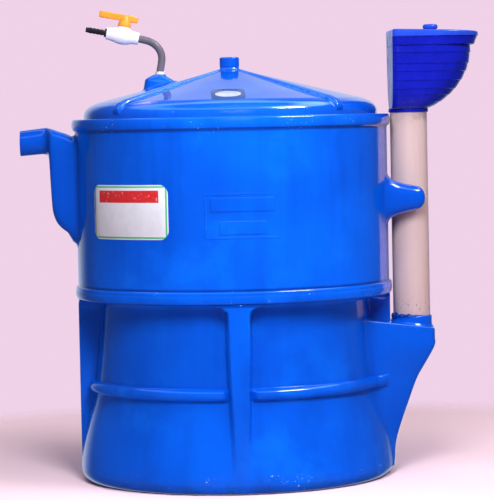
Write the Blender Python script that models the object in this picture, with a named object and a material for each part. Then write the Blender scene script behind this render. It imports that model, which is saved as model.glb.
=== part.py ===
"""Household biogas digester: a round FRP tank, its floating gas holder, a feed hopper and an overflow outlet.

Metres, +Z up. The tank's axis is the Z axis, the front is at -Y, the feed pipe is at +X and the outlet is
at -X. Heights in this source are measured from the tank's moulding line, GROUND is that of the ground, and
build() lifts the whole so that the ground is Z = 0.
"""

import math

import bmesh
import bpy
from mathutils import Matrix, Vector

# Fits and walls
GAP = 0.0003
WALL = 0.006
HOLDER_WALL = 0.005

# Tank
GROUND = -0.012
BODY_R = 0.525
INNER_R = BODY_R - WALL
BASE_R = 0.5265
BASE_FILLET = 0.036
FLOOR_TOP = 0.045
LEDGE_Z = 0.600
LEDGE_INNER_R = 0.449
RIM_R = 0.536
RIM_BOTTOM = 1.159
RIM_TOP = 1.198
BEAD_R = 0.534
BEAD_Z = 0.620
BEAD_HALF = 0.021

# Recessed lower panels: outer radius against height
PANEL_PROFILE = (
    (FLOOR_TOP, 0.5260),
    (0.105, 0.5185),
    (0.190, 0.5015),
    (0.290, 0.4790),
    (0.440, 0.4640),
    (0.560, 0.4560),
    (LEDGE_Z - WALL, 0.4550),
)
RIB_R = 0.5265
RIB_TOP_HALF_ANGLE = math.radians(3.4)
RIB_FOOT_HALF_ANGLE = math.radians(4.2)
RIB_FLANGE_HALF_ANGLE = math.radians(5.0)
RIB_FOOT_SHARE = 0.72
BELT_Z = 0.307
BELT_HALF = 0.021
BELT_DEPTH = 0.023
BELT_TAPER = math.radians(4.0)
PANEL_STEPS = 16
QUARTERS = ("back_right", "back_left", "front_left", "front_right")

# Inlet pocket and feed pipe
PIPE_X = 0.601
PIPE_R = 0.0625
PIPE_WALL = 0.004
SOCKET_WALL = 0.0055
SOCKET_TOP = 0.514
POCKET_TOP = 0.4755
POCKET_ROOF_LIFT = 0.0229
POCKET_OUTER_X = 0.676
POCKET_ROOT_X = 0.400
POCKET_ROOT_HALF = 0.181
POCKET_FACE_HALF = 0.088
POCKET_BELT_ANGLE = math.radians(20.5)
POCKET_HOLLOW_ROOT_X = 0.380
POCKET_HOLLOW_BOTTOM = 0.15
POCKET_TOP_CHAMFER = 0.006
SOCKET_FOOT = 0.455
SOCKET_STEP = POCKET_TOP + 0.0265
PIPE_TOP = 1.2000

# Outer edge of the pocket: (z, x)
POCKET_EDGE = (
    (0.047, 0.5300),
    (0.100, 0.5385),
    (0.193, 0.5680),
    (0.301, 0.6100),
    (0.355, 0.6420),
    (0.414, 0.6750),
    (0.464, POCKET_OUTER_X),
)

# Lugs of the tank wall beside the feed pipe
LUG_Z = 0.915
LUG_WIDTH = 0.080
LUG_CLEARANCE = 0.0025
LUG_SQUARENESS = 0.8

# A lug's sections outward from the tank: (x, half height, width)
LUG_STATIONS = (
    (0.500, 0.1000, 0.100),
    (0.517, 0.0850, 0.092),
    (0.529, 0.0680, 0.086),
    (0.546, 0.0565, 0.080),
    (0.575, 0.0480, 0.076),
    (0.602, 0.0420, 0.072),
    (0.620, 0.0375, 0.066),
    (0.632, 0.0295, 0.056),
    (0.639, 0.0180, 0.040),
    (0.6415, 0.0070, 0.020),
)

# Feed hopper
HOPPER_FLAT_X = 0.541
HOPPER_COLLAR_TOP = 1.2137
HOPPER_WALL = 0.004
HOPPER_CORNER = 0.018
HOPPER_FOOT_HALF = 0.066
HOPPER_TOP = 1.4265
HOPPER_RIM_TOP = 1.4525
HOPPER_REACH = 0.284
HOPPER_HALF = 0.128
LID_TOP = 1.474
KNOB_X = 0.680
KNOB_R = 0.025
KNOB_TOP = 1.496

# Overflow outlet
CHAMBER_X = -0.613
CHAMBER_HALF = 0.088
SPOUT_R = 0.044
SPOUT_TAPER = 0.0015
CHAMBER_BORE_R = 0.034
SPOUT_DROOP = math.radians(5.2)
SPOUT_END_X = -0.709
SPOUT_Z = 1.1305
PORT_HALF = 0.058
PORT_BOTTOM = 0.860
PORT_TOP = 1.130

# The chamber's side outline from its roof's root round to its foot's root: (x, z)
CHAMBER_EDGE = (
    (-0.4950, 1.1330),
    (-0.5750, 1.1595),
    (-0.6080, 1.1715),
    (CHAMBER_X, 1.1650),
    (CHAMBER_X, 1.0700),
    (-0.6045, 0.9050),
    (-0.6005, 0.8800),
    (-0.5900, 0.8540),
    (-0.5690, 0.8310),
    (-0.5350, 0.8040),
    (-0.4950, 0.7700),
)

# How the chamber's outline draws in across its width: (share of the half width, distance)
CHAMBER_ROUNDING = ((-1.0, 0.016), (-0.92, 0.004), (0.0, 0.0), (0.92, 0.004), (1.0, 0.016))

# Gas holder
HOLDER_R = 0.4945
SHOULDER_Z = 1.200
CONE_SLOPE = 0.249
CONE_EDGE_R = 0.450
CONE_EDGE_Z = 1.2520
STUB_R = 0.032
STUB_CAP_Z = 1.3665
STUB_TOP = 1.392
DOME_RIB_HALF = 0.015
DOME_RIB_HEIGHT = 0.0105
DOME_RIB_LOW = 0.005
DOME_RIB_DEGREES = (43.0, 137.0, 223.0, 317.0)
HOLDER_TURN = math.radians(-3.0)

# The dome's rounded shoulder: (radius, z, slope of its normal above level in degrees)
SHOULDER = (
    (HOLDER_R, SHOULDER_Z, 0.0),
    (0.4938, 1.2120, 10.0),
    (0.4905, 1.2225, 25.0),
    (0.4845, 1.2315, 42.0),
    (0.4755, 1.2395, 58.0),
    (0.4650, 1.2450, 68.0),
    (CONE_EDGE_R, CONE_EDGE_Z - 0.0005, 75.0),
)

# Gas outlet on the dome
BOSS_X = -0.2335
BOSS_TOP = 1.3445
GAS_PIPE_R = 0.0125
GAS_PIPE_WALL = 0.0025
COLLAR_HEIGHT = 0.010
VALVE_TILT = math.radians(11.0)
VALVE_START = Vector((-0.303, 0.0, 1.4657))
VALVE_LENGTH = 0.110
STEM_ALONG = 0.055
NECK_R = 0.0215
NECK_TOP = 0.0310
VALVE_BORE = 0.0095
NOZZLE_BORE = 0.0050
NOZZLE_FLANGE = 0.0150
BARB_R = 0.0105
BARB_ROOT = 0.0085
BARB_LENGTH = 0.0130
BARBS = 4

# Middle line of the bent gas pipe between its ends: (x, z)
GAS_PIPE_BENDS = ((-0.2290, 1.3800), (-0.2270, 1.4020), (-0.2320, 1.4230), (-0.2470, 1.4430), (-0.2690, 1.4565))

# Outside of the valve: (distance along, radius)
VALVE_OUTLINE = (
    (0.0, 0.0200),
    (0.003, 0.0208),
    (0.013, 0.0210),
    (0.024, 0.0224),
    (0.036, 0.0262),
    (0.047, 0.0287),
    (0.062, 0.0288),
    (0.075, 0.0266),
    (0.089, 0.0230),
    (0.100, 0.0211),
    (0.107, 0.0208),
    (VALVE_LENGTH, 0.0200),
)

# The boss under the gas pipe: (z, left x, right x, half width)
BOSS_STATIONS = (
    (1.2620, -0.3000, -0.1200, 0.066),
    (1.2940, -0.2920, -0.1400, 0.060),
    (1.3165, -0.2875, -0.1760, 0.053),
    (1.3290, -0.2840, -0.1960, 0.046),
    (1.3380, -0.2700, -0.2110, 0.033),
    (BOSS_TOP, -0.2560, -0.2150, 0.0205),
)

# The lever's hub: (height over the neck, radius)
LEVER_HUB = ((0.0, 0.0222), (0.005, 0.0226), (0.014, 0.0200), (0.026, 0.0150), (0.0375, 0.0105))

# The lever's bar: (distance toward the pipe, half width, low edge, high edge)
LEVER_BAR = (
    (0.0425, 0.0050, 0.0200, 0.0370),
    (0.0380, 0.0078, 0.0182, 0.0392),
    (0.0100, 0.0085, 0.0180, 0.0400),
    (-0.0300, 0.0085, 0.0180, 0.0402),
    (-0.0840, 0.0080, 0.0182, 0.0405),
    (-0.0890, 0.0050, 0.0200, 0.0388),
)

COLOURS = {
    "body_blue": ((0.004, 0.105, 0.62, 1.0), 0.18, 0.0),
    "hopper_blue": ((0.008, 0.016, 0.56, 1.0), 0.30, 0.0),
    "pvc_cream": ((0.62, 0.54, 0.48, 1.0), 0.42, 0.0),
    "valve_white": ((0.84, 0.83, 0.84, 1.0), 0.35, 0.0),
    "handle_orange": ((0.92, 0.30, 0.02, 1.0), 0.40, 0.0),
    "nozzle_black": ((0.014, 0.013, 0.015, 1.0), 0.45, 0.0),
    "pipe_grey": ((0.115, 0.105, 0.125, 1.0), 0.45, 0.0),
    "thread_white": ((0.78, 0.74, 0.60, 1.0), 0.60, 0.0),
}


def clear_scene():
    """Takes every object out of the scene."""
    for obj in list(bpy.data.objects):
        bpy.data.objects.remove(obj, do_unlink=True)


def material(name):
    """The named Principled material, made on first use."""
    found = bpy.data.materials.get(name)
    if found:
        return found
    colour, roughness, metallic = COLOURS[name]
    made = bpy.data.materials.new(name)
    made.use_nodes = True
    made.diffuse_color = colour
    shader = made.node_tree.nodes["Principled BSDF"]
    shader.inputs["Base Color"].default_value = colour
    shader.inputs["Roughness"].default_value = roughness
    shader.inputs["Metallic"].default_value = metallic
    return made


def object_from(bm, name, slot, sharp=35.0):
    """Turns a bmesh into a named object with outward faces, smooth but for its sharp edges."""
    bmesh.ops.recalc_face_normals(bm, faces=bm.faces)
    mesh = bpy.data.meshes.new(name)
    bm.to_mesh(mesh)
    bm.free()
    mesh.shade_smooth()
    mesh.set_sharp_from_angle(angle=math.radians(sharp))
    obj = bpy.data.objects.new(name, mesh)
    bpy.context.scene.collection.objects.link(obj)
    if slot:
        obj.data.materials.append(material(slot))
    return obj


def loft(name, slot, rings, wrap=False, sharp=35.0):
    """Skins closed rings of points. With wrap the last ring joins the first, or else both ends are capped."""
    bm = bmesh.new()
    made = [[bm.verts.new(point) for point in ring] for ring in rings]
    count = len(made[0])
    pairs = list(zip(made, made[1:]))
    if wrap:
        pairs.append((made[-1], made[0]))
    for lower, upper in pairs:
        for i in range(count):
            j = (i + 1) % count
            bm.faces.new((lower[i], lower[j], upper[j], upper[i]))
    if not wrap:
        bm.faces.new(list(reversed(made[0])))
        bm.faces.new(made[-1])
    return object_from(bm, name, slot, sharp)


def polar(radius, angle, z):
    """The point at this radius and angle about the Z axis."""
    return Vector((radius * math.cos(angle), radius * math.sin(angle), z))


def turned(name, slot, profile, steps, start=0.0, sweep=math.tau, centre=(0.0, 0.0), sharp=35.0):
    """Turns a closed (radius, z) outline about a vertical axis, all round or over one sector."""
    full = abs(sweep - math.tau) < 1e-6
    count = steps if full else steps + 1
    offset = Vector((centre[0], centre[1], 0.0))
    rings = []
    for i in range(count):
        angle = start + sweep * i / steps
        rings.append([polar(radius, angle, z) + offset for radius, z in profile])
    return loft(name, slot, rings, wrap=full, sharp=sharp)


def revolved(name, slot, profile, steps, centre=(0.0, 0.0), sharp=35.0):
    """A solid of revolution whose open (radius, z) outline starts and ends on the axis."""
    offset = Vector((centre[0], centre[1], 0.0))
    bm = bmesh.new()
    bottom = bm.verts.new(Vector((0.0, 0.0, profile[0][1])) + offset)
    top = bm.verts.new(Vector((0.0, 0.0, profile[-1][1])) + offset)
    rings = []
    for radius, z in profile[1:-1]:
        rings.append([bm.verts.new(polar(radius, math.tau * i / steps, z) + offset) for i in range(steps)])
    for i in range(steps):
        j = (i + 1) % steps
        bm.faces.new((bottom, rings[0][j], rings[0][i]))
        for lower, upper in zip(rings, rings[1:]):
            bm.faces.new((lower[i], lower[j], upper[j], upper[i]))
        bm.faces.new((rings[-1][i], rings[-1][j], top))
    return object_from(bm, name, slot, sharp)


def arc(centre, radius, start, end, steps):
    """Points (radius, z) on an arc, angles in degrees."""
    points = []
    for i in range(steps + 1):
        angle = math.radians(start + (end - start) * i / steps)
        points.append((centre[0] + radius * math.cos(angle), centre[1] + radius * math.sin(angle)))
    return points


def squared_oval(centre, half_a, half_b, power, steps):
    """Points of an oval that a power below 1 makes squarer."""
    points = []
    for k in range(steps):
        a = math.cos(math.tau * k / steps)
        b = math.sin(math.tau * k / steps)
        a = math.copysign(abs(a) ** power, a)
        b = math.copysign(abs(b) ** power, b)
        points.append((centre[0] + half_a * a, centre[1] + half_b * b))
    return points


def panel_radius(z):
    """Outer radius of the recessed lower wall at this height."""
    for (z0, r0), (z1, r1) in zip(PANEL_PROFILE, PANEL_PROFILE[1:]):
        if z <= z1:
            return r0 + (r1 - r0) * (z - z0) / (z1 - z0)
    return PANEL_PROFILE[-1][1]


def hide_as_cutter(obj):
    """Keeps a shape that only cuts or joins out of the render."""
    obj.hide_render = True
    obj.display_type = "WIRE"
    return obj


def cut(obj, cutter):
    """Takes the cutter's shape out of the object with a Boolean."""
    modifier = obj.modifiers.new("cut_" + cutter.name, "BOOLEAN")
    modifier.operation = "DIFFERENCE"
    modifier.object = cutter
    modifier.solver = "EXACT"


def join_shape(obj, other):
    """Adds the other object's shape to this one with a Boolean."""
    modifier = obj.modifiers.new("join_" + other.name, "BOOLEAN")
    modifier.operation = "UNION"
    modifier.object = other
    modifier.solver = "EXACT"


def rounded_box_ring(cx, cy, z, half_x, half_y, radius, steps=4):
    """A rounded rectangle at height z, counter-clockwise."""
    points = []
    corners = ((1, 1, 0), (-1, 1, 90), (-1, -1, 180), (1, -1, 270))
    for sx, sy, start in corners:
        centre = (cx + sx * (half_x - radius), cy + sy * (half_y - radius))
        for x, y in arc(centre, radius, start, start + 90, steps):
            points.append(Vector((x, y, z)))
    return points


# Tank


def tank_floor():
    """A shallow pan with a rounded corner, on which the lower wall stands."""
    centre = (BASE_R - BASE_FILLET, GROUND + BASE_FILLET)
    outline = [(0.0, GROUND)]
    outline += arc(centre, BASE_FILLET, -90, 0, 6)
    outline += [(BASE_R, FLOOR_TOP - GAP), (BASE_R - WALL, FLOOR_TOP - GAP)]
    outline += arc(centre, BASE_FILLET - WALL, 0, -90, 6)
    outline += [(0.0, GROUND + WALL)]
    revolved("tank_floor", "body_blue", outline, 64)


def lower_panel(name, start, end):
    """One recessed quarter of the lower wall, between two column ribs."""
    outline = [(r, z) for z, r in PANEL_PROFILE]
    outline += [(r - WALL, z) for z, r in reversed(PANEL_PROFILE)]
    return turned(name, "body_blue", outline, PANEL_STEPS, start, end - start)


def column_rib(name, middle, bottom):
    """A moulded channel that stands out from the recessed wall and fades into the flared base."""
    heights = [bottom] + [z for z, _ in PANEL_PROFILE if z > bottom + 0.02]
    flange_half = RIB_FLANGE_HALF_ANGLE
    inset = WALL / RIB_R * 0.8
    rings = []
    for z in heights:
        share = RIB_FOOT_SHARE + (1.0 - RIB_FOOT_SHARE) * min(1.0, z / LEDGE_Z)
        top_half = RIB_TOP_HALF_ANGLE * share
        foot_half = RIB_FOOT_HALF_ANGLE * share
        foot_r = panel_radius(z)
        top_r = max(RIB_R, foot_r)
        outside = [(foot_r, -flange_half), (foot_r, -foot_half)]
        outside += [(top_r, top_half * t) for t in (-1.0, -0.33, 0.33, 1.0)]
        outside += [(foot_r, foot_half), (foot_r, flange_half)]
        inside = [(foot_r, flange_half), (foot_r, foot_half - inset)]
        inside += [(top_r, (top_half - inset) * t) for t in (1.0, 0.33, -0.33, -1.0)]
        inside += [(foot_r, inset - foot_half), (foot_r, -flange_half)]
        outline = outside + [(radius - WALL, turn) for radius, turn in inside]
        rings.append([polar(radius, middle + turn, z) for radius, turn in outline])
    return loft(name, "body_blue", rings)


def belt_rib(name, panel_start, panel_end, start, end):
    """A half-round rib laid round one recessed panel, its ends rounded off."""
    stations = [panel_start + (panel_end - panel_start) * i / PANEL_STEPS for i in range(PANEL_STEPS + 1)]
    angles = [angle for angle in stations if start + BELT_TAPER < angle < end - BELT_TAPER]
    for share in (1.0, 0.30, 0.04):
        angles = [start + BELT_TAPER * share] + angles + [end - BELT_TAPER * share]
    rings = []
    for angle in angles:
        share = min(1.0, (angle - start) / BELT_TAPER, (end - angle) / BELT_TAPER)
        depth = BELT_DEPTH * math.sqrt(1.0 - (1.0 - share) ** 2)
        ring = []
        for k in range(9):
            turn = math.radians(-90 + 180 * k / 8)
            z = BELT_Z + BELT_HALF * math.sin(turn)
            ring.append(polar(panel_radius(z) + GAP + depth * math.cos(turn), angle, z))
        rings.append(ring)
    loft(name, "body_blue", rings)


def ledge_ring():
    """The step between the recessed lower wall and the upper wall, on which the gas holder rests."""
    outline = [
        (LEDGE_INNER_R, LEDGE_Z - WALL + GAP),
        (BODY_R, LEDGE_Z - WALL + GAP),
        (BODY_R, LEDGE_Z - GAP),
        (LEDGE_INNER_R, LEDGE_Z - GAP),
    ]
    turned("ledge_ring", "body_blue", outline, 64)


def mid_bead():
    """The half-round bead round the tank above the recessed panels."""
    inner = BODY_R + GAP
    outline = [(inner, BEAD_Z - BEAD_HALF), (inner, BEAD_Z + BEAD_HALF)]
    for k in range(1, 8):
        turn = math.radians(90 - 180 * k / 8)
        r = inner + (BEAD_R - inner) * math.cos(turn)
        outline.append((r, BEAD_Z + BEAD_HALF * math.sin(turn)))
    turned("mid_bead", "body_blue", outline, 96)


def upper_wall(name, start, end):
    """One quarter of the smooth upper wall."""
    outline = [(INNER_R, LEDGE_Z), (BODY_R, LEDGE_Z), (BODY_R, RIM_BOTTOM - GAP), (INNER_R, RIM_BOTTOM - GAP)]
    return turned(name, "body_blue", outline, 24, start, end - start)


def rim_roll():
    """The rolled rim on top of the upper wall."""
    centre = ((INNER_R + RIM_R) / 2, (RIM_BOTTOM + RIM_TOP) / 2)
    outline = squared_oval(centre, (RIM_R - INNER_R) / 2, (RIM_TOP - RIM_BOTTOM) / 2, 0.7, 16)
    turned("rim_roll", "body_blue", outline, 96)


# Overflow outlet


def inset_edge(points, inset):
    """An open outline moved inward by inset, its two ends straight down or up."""
    last = len(points) - 1
    moved = []
    for i, (x, z) in enumerate(points):
        x0, z0 = points[max(0, i - 1)]
        x1, z1 = points[min(last, i + 1)]
        length = math.hypot(x1 - x0, z1 - z0)
        along = 0.0 if i in (0, last) else inset * (z0 - z1) / length
        moved.append((x + along, z + inset * (x1 - x0) / length))
    return moved


def chamber_solid(name, slot, inset, root_shift=0.0):
    """The chamber's outline given its width, narrower outside than at the tank."""
    edge = inset_edge(CHAMBER_EDGE, inset)
    root_x = CHAMBER_EDGE[0][0]
    centre = Vector((-0.53, 0.0, 1.0))
    columns = []
    for t, drop in CHAMBER_ROUNDING:
        column = []
        for x, z in edge:
            share = min(1.0, (root_x - x) / (root_x - CHAMBER_X))
            width = (CHAMBER_HALF - inset) * (1.10 - 0.22 * share ** 2)
            inward = (centre - Vector((x, 0.0, z))).normalized() * drop
            if x == root_x:
                inward.x = root_shift
            column.append(Vector((x, t * width, z)) + inward)
        columns.append(column)
    return loft(name, slot, columns, sharp=50.0)


def spout_axis_point(x):
    """The point on the spout's drooping centre line at this x."""
    return Vector((x, 0.0, SPOUT_Z - (CHAMBER_X - x) * math.tan(SPOUT_DROOP)))


def circle(centre, side, up, radius, steps):
    """Points of a circle across the two given directions."""
    turns = [math.tau * k / steps for k in range(steps)]
    return [centre + side * radius * math.cos(turn) + up * radius * math.sin(turn) for turn in turns]


def tube_rings(start, end, outer, inner, steps, taper=0.0):
    """Rings of a straight tube, outer skin out and inner skin back, narrower by taper at its end."""
    side = Vector((0.0, 1.0, 0.0))
    up = (end - start).normalized().cross(side).normalized()
    sections = ((start, outer), (end, outer - taper), (end, inner - taper), (start, inner))
    return [circle(centre, side, up, radius, steps) for centre, radius in sections]


def rod(name, slot, start, end, radius, steps=24):
    """A plain solid cylinder between two points."""
    return loft(name, slot, tube_rings(start, end, radius, radius / 2, steps)[:2])


def outlet_chamber():
    """The overflow chamber, open to the tank and to its spout."""
    chamber = chamber_solid("outlet_chamber", "body_blue", 0.0)
    hollow = chamber_solid("outlet_hollow_cutter", None, WALL, root_shift=0.02)
    bore_start = spout_axis_point(CHAMBER_X + WALL + 0.003)
    bore_end = spout_axis_point(CHAMBER_X - 0.05)
    bore = rod("outlet_bore_cutter", None, bore_start, bore_end, CHAMBER_BORE_R, 32)
    cut(chamber, hide_as_cutter(hollow))
    cut(chamber, hide_as_cutter(bore))
    cut(chamber, tank_envelope("outlet_tank_cutter", GAP))


def outlet_spout():
    """The round spout, drooping a little and cut upright at its end."""
    spare = 0.02
    start = spout_axis_point(CHAMBER_X + spare)
    end = spout_axis_point(SPOUT_END_X - spare)
    rings = tube_rings(start, end, SPOUT_R, SPOUT_R - WALL, 32, SPOUT_TAPER)
    spout = loft("outlet_spout", "body_blue", rings, wrap=True)
    inside = box("spout_root_cutter", None, (CHAMBER_X - GAP, -0.1, 1.0), (-0.50, 0.1, 1.3))
    outside = box("spout_end_cutter", None, (-0.80, -0.1, 1.0), (SPOUT_END_X, 0.1, 1.3))
    cut(spout, hide_as_cutter(inside))
    cut(spout, hide_as_cutter(outside))


def outlet_port(walls):
    """The doorway in the tank's left walls into the overflow chamber."""
    low = (-0.54, -PORT_HALF, PORT_BOTTOM)
    high = (-0.50, PORT_HALF, PORT_TOP)
    port = hide_as_cutter(box("outlet_port_cutter", None, low, high))
    for wall in walls:
        cut(wall, port)


def box(name, slot, low, high):
    """A box between two corners."""
    centre = [(a + b) / 2 for a, b in zip(low, high)]
    size = [abs(b - a) for a, b in zip(low, high)]
    bm = bmesh.new()
    matrix = Matrix.Translation(centre) @ Matrix.Diagonal((*size, 1.0))
    bmesh.ops.create_cube(bm, size=1.0, matrix=matrix)
    return object_from(bm, name, slot)


def tank_envelope(name, clearance):
    """A cutter with the tank's outer shape, this much larger."""
    outline = [(0.0, -0.10), (BASE_R + clearance, -0.10)]
    outline += [(r + clearance, z) for z, r in PANEL_PROFILE[:-1]]
    top_z = LEDGE_Z - WALL - clearance
    outline += [(PANEL_PROFILE[-1][1] + clearance, top_z), (BODY_R + clearance, top_z)]
    outline += [(BODY_R + clearance, 1.30), (0.0, 1.30)]
    return hide_as_cutter(revolved(name, None, outline, 96))


# Inlet pocket, socket and feed pipe


def pocket_ring(z, outer_x, inset, root_x, steps=6):
    """A plan outline of the pocket: a rounded nose on straight flanks that widen toward the tank."""
    nose_x = outer_x - inset
    face_half = POCKET_FACE_HALF - inset
    root_half = POCKET_ROOT_HALF - inset
    corner = min(0.032, max(0.004, (nose_x - 0.50) * 0.25))
    points = [Vector((root_x, -root_half, z))]
    for side, start in ((-1.0, -90.0), (1.0, 0.0)):
        centre = (nose_x - corner, side * (face_half - corner))
        points += [Vector((x, y, z)) for x, y in arc(centre, corner, start, start + 90.0, steps)]
    points.append(Vector((root_x, root_half, z)))
    return points


def pocket_solid(name, slot, inset, root_x=POCKET_ROOT_X, bottom_z=0.0):
    """The wedge of the inlet pocket, or the same wedge smaller by inset all round."""
    rings = [pocket_ring(z, outer_x, inset, root_x) for z, outer_x in POCKET_EDGE if z >= bottom_z]
    top = pocket_ring(POCKET_TOP - inset, POCKET_OUTER_X - POCKET_TOP_CHAMFER, inset, root_x)
    for point in top:
        point.z += POCKET_ROOF_LIFT * (POCKET_OUTER_X - point.x) / (POCKET_OUTER_X - BODY_R)
    rings.append(top)
    return loft(name, slot, rings, sharp=40.0)


def inlet_pocket():
    """The wedge-shaped pocket at the foot of the feed pipe, open to the tank behind it."""
    pocket = pocket_solid("inlet_pocket", "body_blue", 0.0)
    hollow = pocket_solid("pocket_hollow_cutter", None, WALL, POCKET_HOLLOW_ROOT_X, POCKET_HOLLOW_BOTTOM)
    bore_start = Vector((PIPE_X, 0.0, POCKET_TOP - 0.05))
    bore_end = Vector((PIPE_X, 0.0, SOCKET_TOP + 0.05))
    bore = rod("pocket_bore_cutter", None, bore_start, bore_end, PIPE_R - PIPE_WALL, 32)
    cut(pocket, hide_as_cutter(hollow))
    cut(pocket, hide_as_cutter(bore))
    cut(pocket, tank_envelope("pocket_tank_cutter", GAP))
    return hollow


def inlet_socket():
    """The raised round socket that holds the foot of the feed pipe."""
    outer = PIPE_R + SOCKET_WALL
    inner = PIPE_R + GAP
    seat = PIPE_R - PIPE_WALL
    outline = [(seat, SOCKET_FOOT), (outer, SOCKET_FOOT)]
    outline += [(outer, SOCKET_TOP - 0.004), (outer - 0.002, SOCKET_TOP)]
    outline += [(inner, SOCKET_TOP), (inner, SOCKET_STEP), (seat, SOCKET_STEP)]
    socket = turned("inlet_socket", "body_blue", outline, 40, centre=(PIPE_X, 0.0))
    roof_cutter = pocket_solid("socket_roof_cutter", None, -GAP)
    cut(socket, hide_as_cutter(roof_cutter))
    cut(socket, tank_envelope("socket_tank_cutter", GAP))


def feed_pipe():
    """The cream drain pipe between the socket and the hopper."""
    inner = PIPE_R - PIPE_WALL
    low = SOCKET_STEP + GAP
    high = PIPE_TOP - GAP
    outline = [(inner, low), (PIPE_R, low), (PIPE_R, high), (inner, high)]
    turned("feed_pipe", "pvc_cream", outline, 40, centre=(PIPE_X, 0.0))


def pipe_lug(name, side):
    """A tapered, round-ended lug of the tank wall that stands beside the feed pipe."""
    middle_y = side * (PIPE_R + LUG_CLEARANCE + LUG_WIDTH / 2)
    rings = []
    for x, half_z, width in LUG_STATIONS:
        oval = squared_oval((middle_y, LUG_Z), width / 2, half_z, LUG_SQUARENESS, 20)
        rings.append([Vector((x, y, z)) for y, z in oval])
    lug = loft(name, "body_blue", rings, sharp=60.0)
    cut(lug, tank_envelope(name + "_tank_cutter", GAP))


# Feed hopper


def hopper_ring(z, reach, half, inset=0.0):
    """A plan outline of the hopper: flat toward the tank, round outside."""
    left = HOPPER_FLAT_X + inset
    right = HOPPER_FLAT_X + reach - inset
    half = half - inset
    front = -half + HOPPER_CORNER
    nose = min(half, (right - left) * 0.52)
    points = arc((left + HOPPER_CORNER, front), HOPPER_CORNER, 180, 270, 3)
    for k in range(1, 14):
        turn = math.radians(-90 + 180 * k / 14)
        points.append((right - nose + nose * math.cos(turn), half * math.sin(turn)))
    points += arc((left + HOPPER_CORNER, -front), HOPPER_CORNER, 90, 180, 3)
    return [Vector((x, y, z)) for x, y in points]


def hopper_share(z):
    """How far up the funnel this height is, from 0 to 1."""
    return max(0.0, min(1.0, (z - HOPPER_COLLAR_TOP) / (HOPPER_TOP - HOPPER_COLLAR_TOP)))


def hopper_reach(z):
    """How far the hopper's outer side stands from its flat side at this height."""
    low = PIPE_X + PIPE_R - HOPPER_FLAT_X
    high = HOPPER_REACH - 0.012
    return low + (high - low) * (1.0 - (1.0 - hopper_share(z)) ** 2.2) ** 0.75


def hopper_half(z):
    """Half the hopper's width across at this height."""
    return HOPPER_FOOT_HALF + (HOPPER_HALF - HOPPER_FOOT_HALF) * math.sqrt(1.0 - (1.0 - hopper_share(z)) ** 2)


def hopper_body():
    """The open funnel of the hopper."""
    bottom = HOPPER_COLLAR_TOP + GAP
    levels = [bottom + (HOPPER_TOP - bottom) * (k / 9) ** 1.6 for k in range(10)]
    rings = [hopper_ring(z, hopper_reach(z), hopper_half(z)) for z in levels]
    rings += [hopper_ring(z, hopper_reach(z), hopper_half(z), HOPPER_WALL) for z in reversed(levels)]
    loft("hopper_body", "hopper_blue", rings, wrap=True, sharp=30.0)


def hopper_rim():
    """The thick lip round the hopper's mouth."""
    wide = HOPPER_HALF + 0.004
    low = HOPPER_TOP + GAP
    high = HOPPER_RIM_TOP - GAP
    inner_reach = hopper_reach(HOPPER_TOP)
    rings = [
        hopper_ring(low, HOPPER_REACH + 0.004, wide),
        hopper_ring(low + 0.008, HOPPER_REACH + 0.010, wide + 0.004),
        hopper_ring(high - 0.004, HOPPER_REACH + 0.012, wide + 0.005),
        hopper_ring(high, HOPPER_REACH + 0.010, wide + 0.004),
        hopper_ring(high, inner_reach, HOPPER_HALF, HOPPER_WALL),
        hopper_ring(low, inner_reach, HOPPER_HALF, HOPPER_WALL),
    ]
    loft("hopper_rim", "hopper_blue", rings, wrap=True, sharp=30.0)


def hopper_collar():
    """The short collar of the hopper that sits on the feed pipe."""
    inner = PIPE_R - PIPE_WALL
    outer = PIPE_R + 0.0045
    outline = [(inner, PIPE_TOP), (outer, PIPE_TOP), (outer, HOPPER_COLLAR_TOP), (inner, HOPPER_COLLAR_TOP)]
    turned("hopper_collar", "hopper_blue", outline, 40, centre=(PIPE_X, 0.0))


def hopper_lid():
    """The lift-off lid and its knob."""
    wide = HOPPER_HALF + 0.010
    reach = HOPPER_REACH + 0.016
    rings = [
        hopper_ring(HOPPER_RIM_TOP + GAP, reach, wide),
        hopper_ring(LID_TOP - 0.008, reach, wide),
        hopper_ring(LID_TOP - 0.002, reach - 0.003, wide - 0.003, 0.0),
        hopper_ring(LID_TOP, reach - 0.010, wide - 0.010, 0.004),
    ]
    loft("lid_plate", "hopper_blue", rings, sharp=30.0)
    bottom = LID_TOP + GAP
    outline = [(0.0, bottom), (KNOB_R * 0.86, bottom)]
    outline += [(KNOB_R * 0.80, bottom + 0.006), (KNOB_R, bottom + 0.011)]
    outline += [(KNOB_R, KNOB_TOP - 0.005), (KNOB_R - 0.004, KNOB_TOP), (0.0, KNOB_TOP)]
    revolved("lid_knob", "hopper_blue", outline, 28, centre=(KNOB_X, 0.0))


# Gas holder


def holder_skirt():
    """The gas holder's cylindrical skirt, which stands on the ledge inside the tank."""
    inner = HOLDER_R - HOLDER_WALL
    outline = [(inner, LEDGE_Z), (HOLDER_R, LEDGE_Z), (HOLDER_R, SHOULDER_Z - GAP), (inner, SHOULDER_Z - GAP)]
    turned("holder_skirt", "body_blue", outline, 72)


def cone_z(radius):
    """Height of the dome's outer skin on the cone."""
    return CONE_EDGE_Z + (CONE_EDGE_R - radius) * CONE_SLOPE


def dome_profile(offset):
    """The dome's outline (radius, z) from the skirt up to the stub, set in by offset along its normal."""
    points = []
    for radius, z, slope in SHOULDER:
        turn = math.radians(slope)
        points.append((radius - offset * math.cos(turn), z - offset * math.sin(turn)))
    points.append((STUB_R, cone_z(STUB_R) - offset))
    return points


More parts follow.
